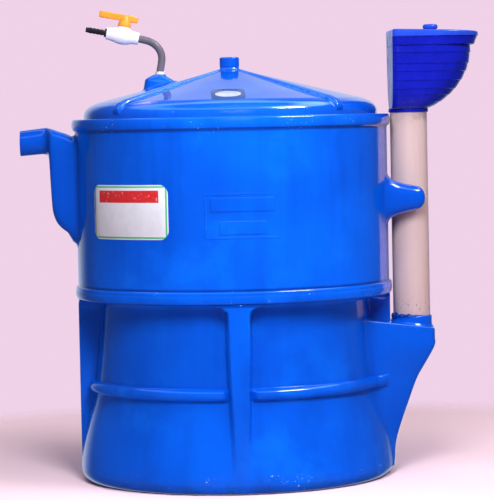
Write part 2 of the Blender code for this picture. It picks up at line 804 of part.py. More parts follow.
def holder_dome():
    """The shallow cone with its rounded shoulder, as a shell under the stub."""
    outer = dome_profile(0.0)
    inner = dome_profile(HOLDER_WALL)
    outline = [(0.0, cone_z(STUB_R) - HOLDER_WALL)] + list(reversed(inner)) + outer + [(0.0, cone_z(STUB_R))]
    dome = revolved("holder_dome", "body_blue", outline, 72)
    low = Vector((BOSS_X, 0.0, 1.20))
    high = Vector((BOSS_X, 0.0, 1.40))
    gas_hole = rod("gas_hole_cutter", None, low, high, GAS_PIPE_R)
    cut(dome, hide_as_cutter(gas_hole))


def dome_rib(name, angle):
    """A rounded rib that runs from the stub down the cone and over the shoulder."""
    cone_slope = 90.0 - math.degrees(math.atan(CONE_SLOPE))
    stations = [(r, cone_z(r), cone_slope) for r in (STUB_R + 0.004, 0.10, 0.20, 0.30, 0.40)]
    stations += list(reversed(SHOULDER[1:]))
    along = Vector((math.cos(angle), math.sin(angle), 0.0))
    across = Vector((-math.sin(angle), math.cos(angle), 0.0))
    rings = []
    for radius, z, slope in stations:
        grow = min(1.0, radius / 0.30)
        foot = max(0.0, 1.0 - (slope / cone_slope)) ** 2
        height = (DOME_RIB_LOW + (DOME_RIB_HEIGHT - DOME_RIB_LOW) * grow) * (1.0 - 0.80 * foot)
        half = DOME_RIB_HALF * (0.55 + 0.45 * grow)
        tilt = math.radians(slope)
        normal = along * math.cos(tilt) + Vector((0.0, 0.0, math.sin(tilt)))
        base = along * radius + Vector((0.0, 0.0, z)) + normal * GAP * 1.5
        ring = [base - across * half * 1.35]
        for k in range(7):
            turn = math.radians(150 - 120 * k / 6)
            ring.append(base + across * half * 1.1 * math.cos(turn) + normal * height * math.sin(turn))
        ring.append(base + across * half * 1.35)
        rings.append(ring)
    loft(name, "body_blue", rings, sharp=60.0)


def dome_stub():
    """The closed stub at the dome's top and its cap."""
    stub_bottom = cone_z(STUB_R) + GAP
    stub_top = STUB_CAP_Z - GAP
    outline = [(0.0, stub_bottom), (STUB_R + 0.002, stub_bottom), (STUB_R, stub_top), (0.0, stub_top)]
    revolved("dome_stub", "body_blue", outline, 32)
    cap_r = STUB_R + 0.0012
    outline = [(0.0, STUB_CAP_Z), (cap_r, STUB_CAP_Z), (cap_r, STUB_TOP - 0.004)]
    outline += [(cap_r - 0.005, STUB_TOP + 0.002), (cap_r - 0.016, STUB_TOP + 0.005), (0.0, STUB_TOP + 0.006)]
    revolved("stub_cap", "body_blue", outline, 32)


def gas_boss():
    """The boss moulded on the dome round the foot of the gas pipe."""
    rings = []
    for z, left, right, half_y in BOSS_STATIONS:
        half_x = (right - left) / 2
        rings.append(rounded_box_ring(left + half_x, 0.0, z, half_x, half_y, min(half_x, half_y) * 0.75))
    boss = loft("gas_boss", "body_blue", rings, sharp=50.0)
    clearance = GAP * 1.2
    wide = 0.60
    outline = [(0.0, 1.0), (wide, 1.0), (wide, cone_z(wide) + clearance)]
    outline += [(STUB_R, cone_z(STUB_R) + clearance), (0.0, cone_z(STUB_R) + clearance)]
    cut(boss, hide_as_cutter(revolved("boss_dome_cutter", None, outline, 72)))
    low = Vector((BOSS_X, 0.0, 1.25))
    high = Vector((BOSS_X, 0.0, 1.40))
    cut(boss, hide_as_cutter(rod("boss_seat_cutter", None, low, high, GAS_PIPE_R - GAS_PIPE_WALL)))


def thread_collar():
    """The taped thread between the boss and the gas pipe."""
    low = BOSS_TOP + GAP
    high = BOSS_TOP + COLLAR_HEIGHT
    inner = GAS_PIPE_R - GAS_PIPE_WALL
    outline = [(inner, low), (0.0165, low), (0.0165, high - 0.002), (0.0145, high), (inner, high)]
    turned("thread_collar", "thread_white", outline, 28, centre=(BOSS_X, 0.0))


def valve_direction():
    """Along the valve, outward from the gas pipe."""
    return Vector((-math.cos(VALVE_TILT), 0.0, math.sin(VALVE_TILT)))


def stem_direction():
    """Up along the valve's stem, on which the lever turns."""
    return Vector((math.sin(VALVE_TILT), 0.0, math.cos(VALVE_TILT)))


def smooth_through(points, steps):
    """Points of a smooth curve through the given ones."""
    padded = [points[0] * 2 - points[1]] + list(points) + [points[-1] * 2 - points[-2]]
    made = []
    for a, b, c, d in zip(padded, padded[1:], padded[2:], padded[3:]):
        for i in range(steps):
            t = i / steps
            square = (2 * a - 5 * b + 4 * c - d) * t ** 2
            cube = (3 * b - 3 * c + d - a) * t ** 3
            made.append(0.5 * (2 * b + (c - a) * t + square + cube))
    made.append(points[-1])
    return made


def gas_pipe():
    """The grey pipe bent over from the boss toward the valve."""
    start = Vector((BOSS_X, 0.0, BOSS_TOP + COLLAR_HEIGHT + GAP))
    end = VALVE_START - valve_direction() * GAP
    path = smooth_through([start] + [Vector((x, 0.0, z)) for x, z in GAS_PIPE_BENDS] + [end], 3)
    tangents = [(after - before).normalized() for before, after in zip(path, path[2:])]
    tangents = [Vector((0.0, 0.0, 1.0))] + tangents + [valve_direction()]
    side = Vector((0.0, 1.0, 0.0))
    frames = [(point, tangent.cross(side).normalized()) for point, tangent in zip(path, tangents)]
    rings = [circle(point, side, up, GAS_PIPE_R, 16) for point, up in frames]
    rings += [circle(point, side, up, GAS_PIPE_R - GAS_PIPE_WALL, 16) for point, up in reversed(frames)]
    loft("gas_pipe", "pipe_grey", rings, wrap=True)


def along_valve(outline, steps):
    """Rings of a shape turned about the valve's axis, from (distance along, radius) pairs."""
    axis = valve_direction()
    side = Vector((0.0, 1.0, 0.0))
    up = axis.cross(side).normalized()
    return [circle(VALVE_START + axis * distance, side, up, radius, steps) for distance, radius in outline]


def valve_body():
    """The white ball valve with a through bore and its stem neck."""
    outline = list(VALVE_OUTLINE) + [(VALVE_LENGTH, VALVE_BORE), (0.0, VALVE_BORE)]
    body = loft("valve_body", "valve_white", along_valve(outline, 24), wrap=True)
    hub = VALVE_START + valve_direction() * STEM_ALONG
    neck_foot = hub + stem_direction() * (VALVE_BORE + 0.0055)
    neck = rod("valve_neck", None, neck_foot, hub + stem_direction() * NECK_TOP, NECK_R)
    join_shape(body, hide_as_cutter(neck))


def hose_nozzle():
    """The black barbed nozzle screwed into the valve's outer end."""
    start = VALVE_LENGTH + GAP
    outline = [(start, NOZZLE_FLANGE), (start + 0.007, NOZZLE_FLANGE), (start + 0.009, BARB_R)]
    at = start + 0.012
    for _ in range(BARBS):
        outline += [(at, BARB_R), (at + BARB_LENGTH - 0.0015, BARB_ROOT)]
        at += BARB_LENGTH
    tip = at + 0.005
    outline += [(at, BARB_R - 0.0005), (tip, BARB_ROOT), (tip, NOZZLE_BORE), (start, NOZZLE_BORE)]
    loft("hose_nozzle", "nozzle_black", along_valve(outline, 20), wrap=True)


def valve_handle():
    """The orange lever, with its origin on the stem's axis."""
    hub = VALVE_START + valve_direction() * STEM_ALONG + stem_direction() * (NECK_TOP + GAP)
    x_axis = Vector((1.0, 0.0, 0.0))
    y_axis = Vector((0.0, 1.0, 0.0))
    hub_rings = [circle(Vector((0.0, 0.0, z)), x_axis, y_axis, radius, 24) for z, radius in LEVER_HUB]
    handle = loft("valve_handle", "handle_orange", hub_rings, sharp=35.0)
    bar_rings = []
    for x, half, low, high in LEVER_BAR:
        edge = high - 0.004
        crown = half * 0.7
        corners = [(-half, low), (half, low), (half, edge), (crown, high), (-crown, high), (-half, edge)]
        bar_rings.append([Vector((x, y, z)) for y, z in corners])
    bar = loft("lever_bar", None, bar_rings, sharp=40.0)
    for obj in (handle, bar):
        obj.location = hub
        obj.rotation_euler = (0.0, VALVE_TILT, 0.0)
    join_shape(handle, hide_as_cutter(bar))


def build():
    """Makes every piece and stands the digester on the ground."""
    clear_scene()
    quarter = math.pi / 2
    flange = RIB_FLANGE_HALF_ANGLE + GAP / 0.45
    seam = GAP / 2 / BODY_R

    tank_floor()
    pocket_hollow = inlet_pocket()
    left_walls = []
    for i, name in enumerate(QUARTERS):
        start = quarter * i
        panel_start = start + flange
        panel_end = start + quarter - flange
        panel = lower_panel("lower_panel_" + name, panel_start, panel_end)
        belt_start = start + POCKET_BELT_ANGLE if name == "back_right" else panel_start
        belt_end = start + quarter - POCKET_BELT_ANGLE if name == "front_right" else panel_end
        belt_rib("belt_rib_" + name, panel_start, panel_end, belt_start, belt_end)
        wall = upper_wall("upper_wall_" + name, start + seam, start + quarter - seam)
        if "right" in name:
            cut(panel, pocket_hollow)
        else:
            left_walls.append(wall)
    right_rib = column_rib("column_rib_right", 0.0, POCKET_TOP)
    cut(right_rib, hide_as_cutter(pocket_solid("rib_foot_cutter", None, -GAP)))
    column_rib("column_rib_back", quarter, FLOOR_TOP)
    column_rib("column_rib_left", quarter * 2, FLOOR_TOP)
    column_rib("column_rib_front", quarter * 3, FLOOR_TOP)
    ledge_ring()
    mid_bead()
    rim_roll()

    outlet_chamber()
    outlet_spout()
    outlet_port(left_walls)

    inlet_socket()
    feed_pipe()
    pipe_lug("pipe_lug_front", -1.0)
    pipe_lug("pipe_lug_back", 1.0)
    hopper_body()
    hopper_rim()
    hopper_collar()
    hopper_lid()

    holder_skirt()
    holder_dome()
    for name, degrees in zip(QUARTERS, DOME_RIB_DEGREES):
        dome_rib("dome_rib_" + name, math.radians(degrees) + HOLDER_TURN)
    dome_stub()
    gas_boss()
    thread_collar()
    gas_pipe()
    valve_body()
    hose_nozzle()
    valve_handle()

    for obj in bpy.data.objects:
        obj.location.z -= GROUND


build()
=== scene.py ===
"""Looks of a household biogas digester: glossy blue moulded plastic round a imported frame, a feed hopper, an
overflow spout and a gas valve. Heights in this file are measured from the tank's moulding line, which LIFT
puts above the ground, and every shape is worked out from the sizes in the property groups below."""

import math

import bmesh
import bpy
import numpy as np
from bpy.props import FloatProperty, FloatVectorProperty, IntProperty, PointerProperty
from bpy.types import Operator, Panel, PropertyGroup
from mathutils import Matrix, Vector


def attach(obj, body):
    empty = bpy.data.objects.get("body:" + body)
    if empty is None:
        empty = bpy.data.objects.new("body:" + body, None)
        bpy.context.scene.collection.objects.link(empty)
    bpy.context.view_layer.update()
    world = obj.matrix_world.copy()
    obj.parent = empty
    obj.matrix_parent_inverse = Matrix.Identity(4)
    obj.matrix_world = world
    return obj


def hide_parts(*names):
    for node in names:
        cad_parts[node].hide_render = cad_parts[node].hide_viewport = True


bl_info = {
    "name": "Biogas digester dressing",
    "version": (1, 0, 0),
    "blender": (4, 5, 0),
    "location": "3D View > Sidebar > Digester",
    "description": "Builds the finished surfaces of a household biogas digester around its packed frame",
    "category": "Object",
}

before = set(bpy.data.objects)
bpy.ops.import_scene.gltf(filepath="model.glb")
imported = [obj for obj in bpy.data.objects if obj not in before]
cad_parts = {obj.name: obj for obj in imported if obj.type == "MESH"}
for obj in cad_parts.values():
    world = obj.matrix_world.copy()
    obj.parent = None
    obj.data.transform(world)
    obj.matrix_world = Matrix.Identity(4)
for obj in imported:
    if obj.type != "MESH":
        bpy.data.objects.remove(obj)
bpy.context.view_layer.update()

# How far the moulding line stands above the ground, and the outer radius of the tank's upper wall
LIFT = 0.012
WALL_RADIUS = 0.525

QUARTERS = ("back_right", "back_left", "front_left", "front_right")
TANK_NODES = ["tank_floor", "ledge_ring", "mid_bead", "rim_roll"]
TANK_KINDS = ("lower_panel", "belt_rib", "upper_wall")
TANK_NODES += [f"{kind}_{quarter}" for kind in TANK_KINDS for quarter in QUARTERS]
TANK_NODES += [f"column_rib_{side}" for side in ("front", "left", "back", "right")]
HOLDER_NODES = ["holder_skirt", "holder_dome", "dome_stub"] + [f"dome_rib_{quarter}" for quarter in QUARTERS]


# Sizes and colours


def length(name, default, note):
    """A property in metres."""
    return FloatProperty(name=name, description=note, default=default, unit="LENGTH", precision=4)


def angle(name, degrees, note):
    """A property in radians, given in degrees."""
    return FloatProperty(name=name, description=note, default=math.radians(degrees), unit="ROTATION")


def colour(name, default, note):
    """A linear colour property."""
    return FloatVectorProperty(name=name, description=note, default=default, subtype="COLOR", size=3, min=0.0,
                               max=1.0)


class TankSizes(PropertyGroup):
    """Sizes of the tank's moulding"""

    radius: length("Wall radius", WALL_RADIUS, "Outer radius of the upper wall")
    wall: length("Wall thickness", 0.006, "Thickness of the laminate")
    base_radius: length("Base radius", 0.5263, "Outer radius of the base and of the column ribs")
    base_fillet: length("Base fillet", 0.036, "Rounding of the bottom edge")
    ledge_z: length("Ledge height", 0.600, "Height of the inner ledge that the gas holder rests on")
    bead_radius: length("Bead radius", 0.534, "Outer radius of the bead at mid height")
    bead_groove: length("Bead groove", 0.0014, "Depth of the shallow groove along the bead")
    bead_z: length("Bead height", 0.620, "Height of the bead's middle")
    bead_half: length("Bead half height", 0.021, "Half the bead's height")
    rim_radius: length("Rim radius", 0.536, "Outer radius of the rolled rim")
    rim_bottom: length("Rim bottom", 1.159, "Lower edge of the rolled rim")
    rim_top: length("Rim top", 1.198, "Upper edge of the rolled rim")
    rib_half: angle("Column rib", 3.4, "Half the width of a column rib's face, as an angle")
    rib_cheek: angle("Rib cheek", 2.1, "Width of a column rib's sloping side, as an angle")
    belt_z: length("Belt height", 0.307, "Height of the belt rib's middle")
    belt_half: length("Belt half height", 0.021, "Half the belt rib's height")
    belt_depth: length("Belt depth", 0.0228, "How far the belt rib stands out")


class OutletSizes(PropertyGroup):
    """Sizes of the overflow outlet"""

    face_x: length("Chamber reach", 0.613, "Distance of the chamber's outer face from the tank's axis")
    end_x: length("Spout reach", 0.709, "Distance of the spout's end from the tank's axis")
    spout_z: length("Spout height", 1.1305, "Height of the spout's middle at the chamber's face")
    spout_radius: length("Spout radius", 0.044, "Outer radius of the spout at the chamber's face")
    spout_wall: length("Spout wall", 0.006, "Thickness of the spout")
    droop: angle("Droop", 5.2, "How far the spout drops below level")


class HolderSizes(PropertyGroup):
    """Sizes of the floating gas holder"""

    radius: length("Holder radius", 0.4945, "Outer radius of the skirt")
    wall: length("Wall thickness", 0.005, "Thickness of the laminate")
    shoulder_z: length("Shoulder", 1.200, "Height where the skirt turns in")
    cone_radius: length("Cone radius", 0.450, "Radius where the cone meets the rounded shoulder")
    cone_edge_z: length("Cone edge", 1.2520, "Height of the cone at that radius")
    cone_slope: FloatProperty(name="Cone slope", description="Rise of the cone over its run", default=0.249)
    stub_radius: length("Stub radius", 0.032, "Radius of the closed stub on top")
    rib_height: length("Rib height", 0.0105, "Height of the radial ribs near the shoulder")
    rib_low: length("Rib height at the stub", 0.0048, "Height of the radial ribs near the stub")
    rib_half: length("Rib half width", 0.0155, "Half the width of the radial ribs near the shoulder")
    turned: angle("Turned", -3.0, "How far the holder is turned from square")


class FeedSizes(PropertyGroup):
    """Sizes of the feed pipe, its pocket and its hopper"""

    pipe_x: length("Pipe position", 0.601, "Distance of the pipe's axis from the tank's axis")
    pipe_radius: length("Pipe radius", 0.0625, "Outer radius of the drain pipe")
    pipe_wall: length("Pipe wall", 0.004, "Wall thickness of the drain pipe")
    pipe_top: length("Pipe top", 1.200, "Height of the drain pipe's upper end")
    socket_top: length("Socket top", 0.514, "Height of the raised socket round the pipe's foot")
    pocket_x: length("Pocket reach", 0.676, "Distance of the pocket's nose from the tank's axis")
    pocket_top: length("Pocket top", 0.4755, "Height of the pocket's ledge at its nose")
    flat_x: length("Hopper flat", 0.541, "Where the hopper's flat side stands")
    reach: length("Hopper reach", 0.284, "Depth of the hopper's mouth away from the tank")
    half: length("Hopper half width", 0.128, "Half the width of the hopper's mouth")
    funnel_top: length("Funnel top", 1.4265, "Height where the funnel meets its lip")
    lip_top: length("Lip top", 1.4525, "Height of the lip's upper edge")
    step: length("Step depth", 0.0030, "How far each terrace of the funnel steps in")
    knob_x: length("Knob position", 0.680, "Distance of the lid's knob from the tank's axis")


class GasSizes(PropertyGroup):
    """Sizes of the gas pipe, the ball valve and its nozzle"""

    boss_x: length("Boss position", 0.2335, "Distance of the gas pipe's foot from the holder's axis")
    boss_top: length("Boss top", 1.3445, "Height of the boss's top")
    pipe_radius: length("Gas pipe radius", 0.0125, "Outer radius of the bent gas pipe")
    tilt: angle("Valve tilt", 11.0, "How far the valve rises outward")
    valve_length: length("Valve length", 0.110, "Length of the ball valve")
    stem_along: length("Stem position", 0.055, "Distance of the stem from the valve's inner end")
    neck_radius: length("Neck radius", 0.0215, "Radius of the stem's neck")
    neck_top: length("Neck height", 0.0310, "Height of the neck over the valve's axis")
    barbs: IntProperty(name="Barbs", description="Number of barbs on the hose nozzle", default=4, min=1)
    barb_pitch: length("Barb pitch", 0.0130, "Distance from one barb to the next")
    barb_radius: length("Barb radius", 0.0105, "Radius over a barb")
    tape_turns: FloatProperty(name="Tape turns", description="Turns of tape under the gas pipe", default=5.0)


class Finish(PropertyGroup):
    """Colours of the finishes"""

    gelcoat: colour("Gelcoat", (0.0004, 0.100, 0.70), "Blue of the tank and the gas holder")
    # Also used as painted shade: a share of it is laid over whole pieces that stand in shade.
    gelcoat_deep_and_shade: colour("Deep gelcoat", (0.0003, 0.055, 0.45), "Darker blue where the coat is thick")
    hopper: colour("Hopper", (0.0050, 0.010, 0.37), "Ultramarine of the feed hopper")
    lid: colour("Lid", (0.016, 0.066, 0.60), "Lighter blue of the hopper's lid")
    drain_pipe: colour("Drain pipe", (0.52, 0.385, 0.370), "Cream of the feed pipe")
    valve: colour("Valve", (0.86, 0.85, 0.87), "White of the ball valve")
    lever: colour("Lever", (0.95, 0.33, 0.035), "Orange of the valve's lever")
    gas_pipe: colour("Gas pipe", (0.135, 0.120, 0.145), "Grey of the bent gas pipe")
    tape: colour("Thread tape", (0.80, 0.76, 0.62), "Off-white of the thread tape")
    nozzle: colour("Nozzle", (0.012, 0.011, 0.013), "Black of the hose nozzle")


SETTINGS = {
    "digester_tank": TankSizes,
    "digester_outlet": OutletSizes,
    "digester_holder": HolderSizes,
    "digester_feed": FeedSizes,
    "digester_gas": GasSizes,
    "digester_finish": Finish,
}


def settings(name):
    """The scene's property group of this name."""
    return getattr(bpy.context.scene, "digester_" + name)


# Shader maths


class Value:
    """A shader socket that Python's operators turn into Math nodes."""

    def __init__(self, shader, socket):
        self.shader = shader
        self.socket = socket

    def calculate(self, operation, first, second=None):
        """The result of a Math node on one or two values or numbers."""
        values = {place: value for place, value in enumerate((first, second)) if value is not None}
        node = self.shader.make("ShaderNodeMath", {"operation": operation}, values)
        return Value(self.shader, node.outputs[0])

    def __add__(self, other):
        return self.calculate("ADD", self, other)

    def __sub__(self, other):
        return self.calculate("SUBTRACT", self, other)

    def __mul__(self, other):
        return self.calculate("MULTIPLY", self, other)

    def __radd__(self, other):
        return self.calculate("ADD", other, self)

    def __rsub__(self, other):
        return self.calculate("SUBTRACT", other, self)

    def __rmul__(self, other):
        return self.calculate("MULTIPLY", other, self)

    def maximum(self, other):
        """The larger of the two."""
        return self.calculate("MAXIMUM", self, other)

    def absolute(self):
        """The value without its sign."""
        return self.calculate("ABSOLUTE", self)

    def step(self, low, high):
        """0 below low, 1 above high, smooth between."""
        node = self.shader.make("ShaderNodeMapRange", {"interpolation_type": "SMOOTHSTEP"},
                                {"Value": self, "From Min": low, "From Max": high})
        return Value(self.shader, node.outputs[0])


class Nodes:
    """A node tree that is built from Python."""

    def __init__(self, tree):
        self.tree = tree

    def feed(self, socket, value):
        """Links a value to a socket, or sets a number or colour on it."""
        if isinstance(value, Value):
            self.tree.links.new(value.socket, socket)
        elif isinstance(value, (tuple, list)) and len(value) == 3 and len(socket.default_value) == 4:
            socket.default_value = (*value, 1.0)
        else:
            socket.default_value = value

    def make(self, kind, options=None, inputs=None):
        """Adds a node of any kind with its options set first, then its inputs."""
        node = self.tree.nodes.new(kind)
        for key, option in (options or {}).items():
            setattr(node, key, option)
        for key, value in (inputs or {}).items():
            self.feed(node.inputs[key], value)
        return node

    def split(self, value):
        """The three numbers of a vector."""
        node = self.make("ShaderNodeSeparateXYZ", None, {"Vector": value})
        return [Value(self, socket) for socket in node.outputs]

    def mix(self, share, first, second):
        """Blends two colours."""
        node = self.make("ShaderNodeMix", {"data_type": "RGBA"}, {0: share, 6: first, 7: second})
        return Value(self, node.outputs[2])


class Shader(Nodes):
    """One material and the nodes in it."""

    def __init__(self, name, base, roughness, coat=0.0, specular=0.5):
        self.material = bpy.data.materials.new(name)
        self.material.use_nodes = True
        super().__init__(self.material.node_tree)
        self.surface = self.tree.nodes["Principled BSDF"]
        self.surface.inputs["Base Color"].default_value = (*base, 1.0)
        self.surface.inputs["Roughness"].default_value = roughness
        self.surface.inputs["Coat Weight"].default_value = coat
        self.surface.inputs["Coat Roughness"].default_value = 0.04
        self.surface.inputs["Specular IOR Level"].default_value = specular
        self.material.diffuse_color = (*base, 1.0)
        self.place = Value(self, self.make("ShaderNodeTexCoord").outputs["Object"])

    def stretched(self, scale, rotation=(0.0, 0.0, 0.0)):
        """The object's coordinates scaled and turned."""
        inputs = {"Vector": self.place, "Scale": scale, "Rotation": rotation}
        node = self.make("ShaderNodeMapping", None, inputs)
        return Value(self, node.outputs[0])

    def noise(self, scale, detail=3.0, rough=0.5, place=None, distortion=0.0):
        """Cloudy noise between 0 and 1."""
        inputs = {"Vector": place or self.place, "Scale": scale, "Detail": detail, "Roughness": rough,
                  "Distortion": distortion}
        return Value(self, self.make("ShaderNodeTexNoise", None, inputs).outputs[0])

    def cells(self, scale):
        """Distance to the nearest of many scattered points."""
        node = self.make("ShaderNodeTexVoronoi", None, {"Vector": self.place, "Scale": scale})
        return Value(self, node.outputs["Distance"])

    def bump(self, height, distance, strength=1.0, under=None):
        """A surface normal raised by the height, over the normal under it."""
        inputs = {"Height": height, "Distance": distance, "Strength": strength}
        if under is not None:
            inputs["Normal"] = under
        node = self.make("ShaderNodeBump", None, inputs)
        return Value(self, node.outputs[0])

    def colour(self, value):
        """Sets the base colour."""
        self.feed(self.surface.inputs["Base Color"], value)

    def roughness(self, value):
        """Sets the roughness."""
        self.feed(self.surface.inputs["Roughness"], value)

    def normal(self, value):
        """Sets the surface normal."""
        self.feed(self.surface.inputs["Normal"], value)


def scratches_on(s):
    """Fine crossing scratches gathered in a few fields."""
    first = s.noise(30.0, 2.0, 0.5, s.stretched((1.6, 26.0, 14.0), (0.5, 0.9, 0.4)), distortion=0.5)
    first = first.step(0.735, 0.760) * s.noise(9.0, 2.0, 0.4).step(0.50, 0.62)
    second = s.noise(24.0, 2.0, 0.5, s.stretched((18.0, 2.0, 24.0), (0.2, -0.6, 1.1)), distortion=0.4)
    second = second.step(0.745, 0.770) * s.noise(6.0, 1.0).step(0.50, 0.60)
    return first.maximum(second)


# Blues that the gelcoat is mottled, soiled, scratched and chipped with, and the blues of its painted shade in
# the recessed panels, along crease lines and at the foot
PATCH_BLUE = (0.0015, 0.138, 0.76)
RECESS_SHADE_BLUE = (0.0003, 0.046, 0.40)
GRIME_AND_FOOT_SHADE_BLUE = (0.006, 0.050, 0.26)
CREASE_SHADE_BLUE = (0.0004, 0.020, 0.20)
SCRATCH_BLUE = (0.10, 0.30, 0.85)
CHIP_BLUE = (0.50, 0.64, 0.90)
CHIP_FADE = 0.006


def gelcoat_material(name, chip_bands=(), gloss=0.45, shaded_creases=(), depth=0.0):
    """Hand-laid gelcoat: slow waves, mottled tone, fine scratches, dirt spots, small chips and painted shade.

    Painted shade lies on the recessed panels, in thin lines under the rim and round the bead, and at the
    foot. A chip band is (lowest height, highest height, share of chips), a shaded crease line is (height,
    reach), and depth is the share of the deep blue that is painted over the whole piece as shade."""
    finish = settings("finish")
    s = Shader(name, finish.gelcoat, 0.18, coat=gloss * 0.8, specular=gloss)
    x, y, height = s.split(s.place)
    cloudy = s.noise(2.2, 4.0, 0.55).step(0.32, 0.70)
    streaks = s.noise(3.0, 5.0, 0.6, s.stretched((5.0, 5.0, 0.5))).step(0.40, 0.75)
    tone = s.mix(cloudy * 0.60 + streaks * 0.35, tuple(finish.gelcoat), tuple(finish.gelcoat_deep_and_shade))
    patches = s.noise(5.5, 5.0, 0.6).step(0.50, 0.72)
    tone = s.mix(patches * 0.55, tone, PATCH_BLUE)
    # Painted shade: a share of the deep blue laid evenly over a piece that stands in shade.
    if depth:
        tone = s.mix(depth, tone, tuple(finish.gelcoat_deep_and_shade))
    away = x.calculate("SQRT", x * x + y * y)
    # Painted shade: the recessed panels below the bead are laid over with a deep blue.
    recess_shade = (1.0 - away.step(0.455, 0.512)) * (1.0 - height.step(0.59, 0.61))
    tone = s.mix(recess_shade * 0.30, tone, RECESS_SHADE_BLUE)
    # Painted shade at the foot: a patchy dark band toward the ground. It joins the scattered dirt spots in
    # one mask.
    foot = (1.0 - height.step(0.004, 0.060)) * s.noise(14.0, 4.0, 0.6).step(0.25, 0.60) * 0.60
    dark_patches = (s.noise(26.0, 6.0, 0.7).step(0.56, 0.80) * 0.16).maximum(foot)
    tone = s.mix(dark_patches, tone, GRIME_AND_FOOT_SHADE_BLUE)
    # Painted shade: thin dark lines on the outer wall just under the rim and just above and below the bead.
    for level, reach in shaded_creases:
        near = (height - (level + LIFT)).absolute()
        crease_shade = (1.0 - near.step(reach * 0.35, reach)) * away.step(0.505, 0.515)
        tone = s.mix(crease_shade * (s.noise(9.0, 3.0, 0.6) * 0.5 + 0.45), tone, CREASE_SHADE_BLUE)
    scratches = scratches_on(s)
    tone = s.mix(scratches * 0.30, tone, SCRATCH_BLUE)
    chips = None
    for low, high, share in chip_bands:
        low, high = low + LIFT, high + LIFT
        band = height.step(low - CHIP_FADE, low) * (1.0 - height.step(high, high + CHIP_FADE))
        spots = s.noise(120.0, 4.0, 0.66, s.stretched((0.8, 0.8, 1.6))).step(0.700 - share, 0.725 - share)
        found = band * spots * s.noise(11.0, 2.0, 0.5).step(0.54, 0.62)
        chips = found if chips is None else chips.maximum(found)
    rough = s.noise(7.0, 5.0, 0.65).step(0.30, 0.78) * 0.10 + 0.07
    if chips is not None:
        tone = s.mix(chips * 0.85, tone, CHIP_BLUE)
        rough = rough + chips * 0.4
    s.colour(tone)
    s.roughness(rough + scratches * 0.25)
    waves = s.bump(s.noise(3.2, 2.0, 0.45), 0.010, 0.5)
    peel = s.bump(s.noise(85.0, 2.0, 0.5), 0.0006, 0.22, waves)
    s.normal(s.bump(scratches, 0.0006, 0.35, peel))
    return s.material


def moulded_material(name, base, deep, roughness, coat=0.15, specular=0.4):
    """Moulded plastic with faint flow marks, small scuffs and a fine surface."""
    s = Shader(name, base, roughness, coat=coat, specular=specular)
    cloudy = s.noise(12.0, 4.0, 0.55).step(0.30, 0.72)
    tone = s.mix(cloudy * 0.55, tuple(base), tuple(deep))
    scuffs = s.noise(60.0, 3.0, 0.6, s.stretched((1.0, 7.0, 2.5), (0.3, 0.5, 0.2))).step(0.66, 0.72)
    scuffs = scuffs * s.noise(15.0, 2.0).step(0.50, 0.62)
    pale = tuple(min(1.0, value * 1.3 + 0.06) for value in base)
    tone = s.mix(scuffs * 0.28, tone, pale)
    s.colour(tone)
    s.roughness(s.noise(22.0, 4.0, 0.6).step(0.3, 0.75) * 0.16 + scuffs * 0.2 + (roughness - 0.08))
    soft = s.bump(s.noise(18.0, 2.0, 0.5), 0.002, 0.4)
    s.normal(s.bump(s.noise(420.0, 2.0, 0.5), 0.0003, 0.22, soft))
    return s.material


def drain_pipe_material():
    """Cream drain pipe: long faint streaks, rubbed scuffs and dark splashes near its foot."""
    feed = settings("feed")
    base = tuple(settings("finish").drain_pipe)
    s = Shader("cream_drain_pipe", base, 0.38, coat=0.05, specular=0.4)
    streaks = s.noise(14.0, 4.0, 0.6, s.stretched((3.0, 3.0, 0.25))).step(0.35, 0.75)
    tone = s.mix(streaks * 0.40, base, (base[0] * 0.86, base[1] * 0.84, base[2] * 0.84))
    rubbed = s.noise(40.0, 5.0, 0.65, s.stretched((1.0, 1.0, 0.5))).step(0.60, 0.76)
    tone = s.mix(rubbed * 0.25, tone, (0.34, 0.28, 0.28))
    height = s.split(s.place)[2]
    low, high = feed.socket_top + LIFT, feed.pipe_top + LIFT
    splashes = s.noise(95.0, 4.0, 0.7).step(0.60, 0.66) * (1.0 - height.step(low + 0.004, low + 0.11))
    # Dark patches in a band toward the pipe's top end, joined in one mask with the splashes near its foot.
    top_band = height.step(high - 0.05, high - 0.004)
    dark_patches = (s.noise(60.0, 4.0, 0.7).step(0.50, 0.68) * top_band * 0.6).maximum(splashes)
    specks = (1.0 - s.cells(120.0).step(0.05, 0.09)) * s.noise(11.0, 2.0).step(0.55, 0.62)
    tone = s.mix(dark_patches * 0.85, tone, (0.035, 0.035, 0.055))
    s.colour(s.mix(specks * 0.55, tone, (0.20, 0.17, 0.16)))
    s.roughness(s.noise(20.0, 4.0, 0.6).step(0.3, 0.75) * 0.16 + rubbed * 0.15 + 0.28)
    soft = s.bump(s.noise(6.0, 2.0, 0.5), 0.004, 0.35)
    s.normal(s.bump(s.noise(300.0, 2.0, 0.5, s.stretched((1.0, 1.0, 0.1))), 0.0003, 0.25, soft))
    return s.material


def rough_resin_material():
    """Brushed dark resin where the pipe's foot is bonded in."""
    s = Shader("brushed_resin", (0.003, 0.035, 0.28), 0.42, coat=0.1, specular=0.35)
    lumps = s.noise(120.0, 5.0, 0.65)
    tone = s.mix(lumps.step(0.42, 0.66), (0.0015, 0.018, 0.17), (0.006, 0.10, 0.62))
    s.colour(s.mix(s.noise(260.0, 3.0, 0.6).step(0.64, 0.72) * 0.6, tone, (0.30, 0.34, 0.55)))
    s.roughness(lumps * 0.35 + 0.25)
    s.normal(s.bump(lumps, 0.0030, 0.9))
    return s.material


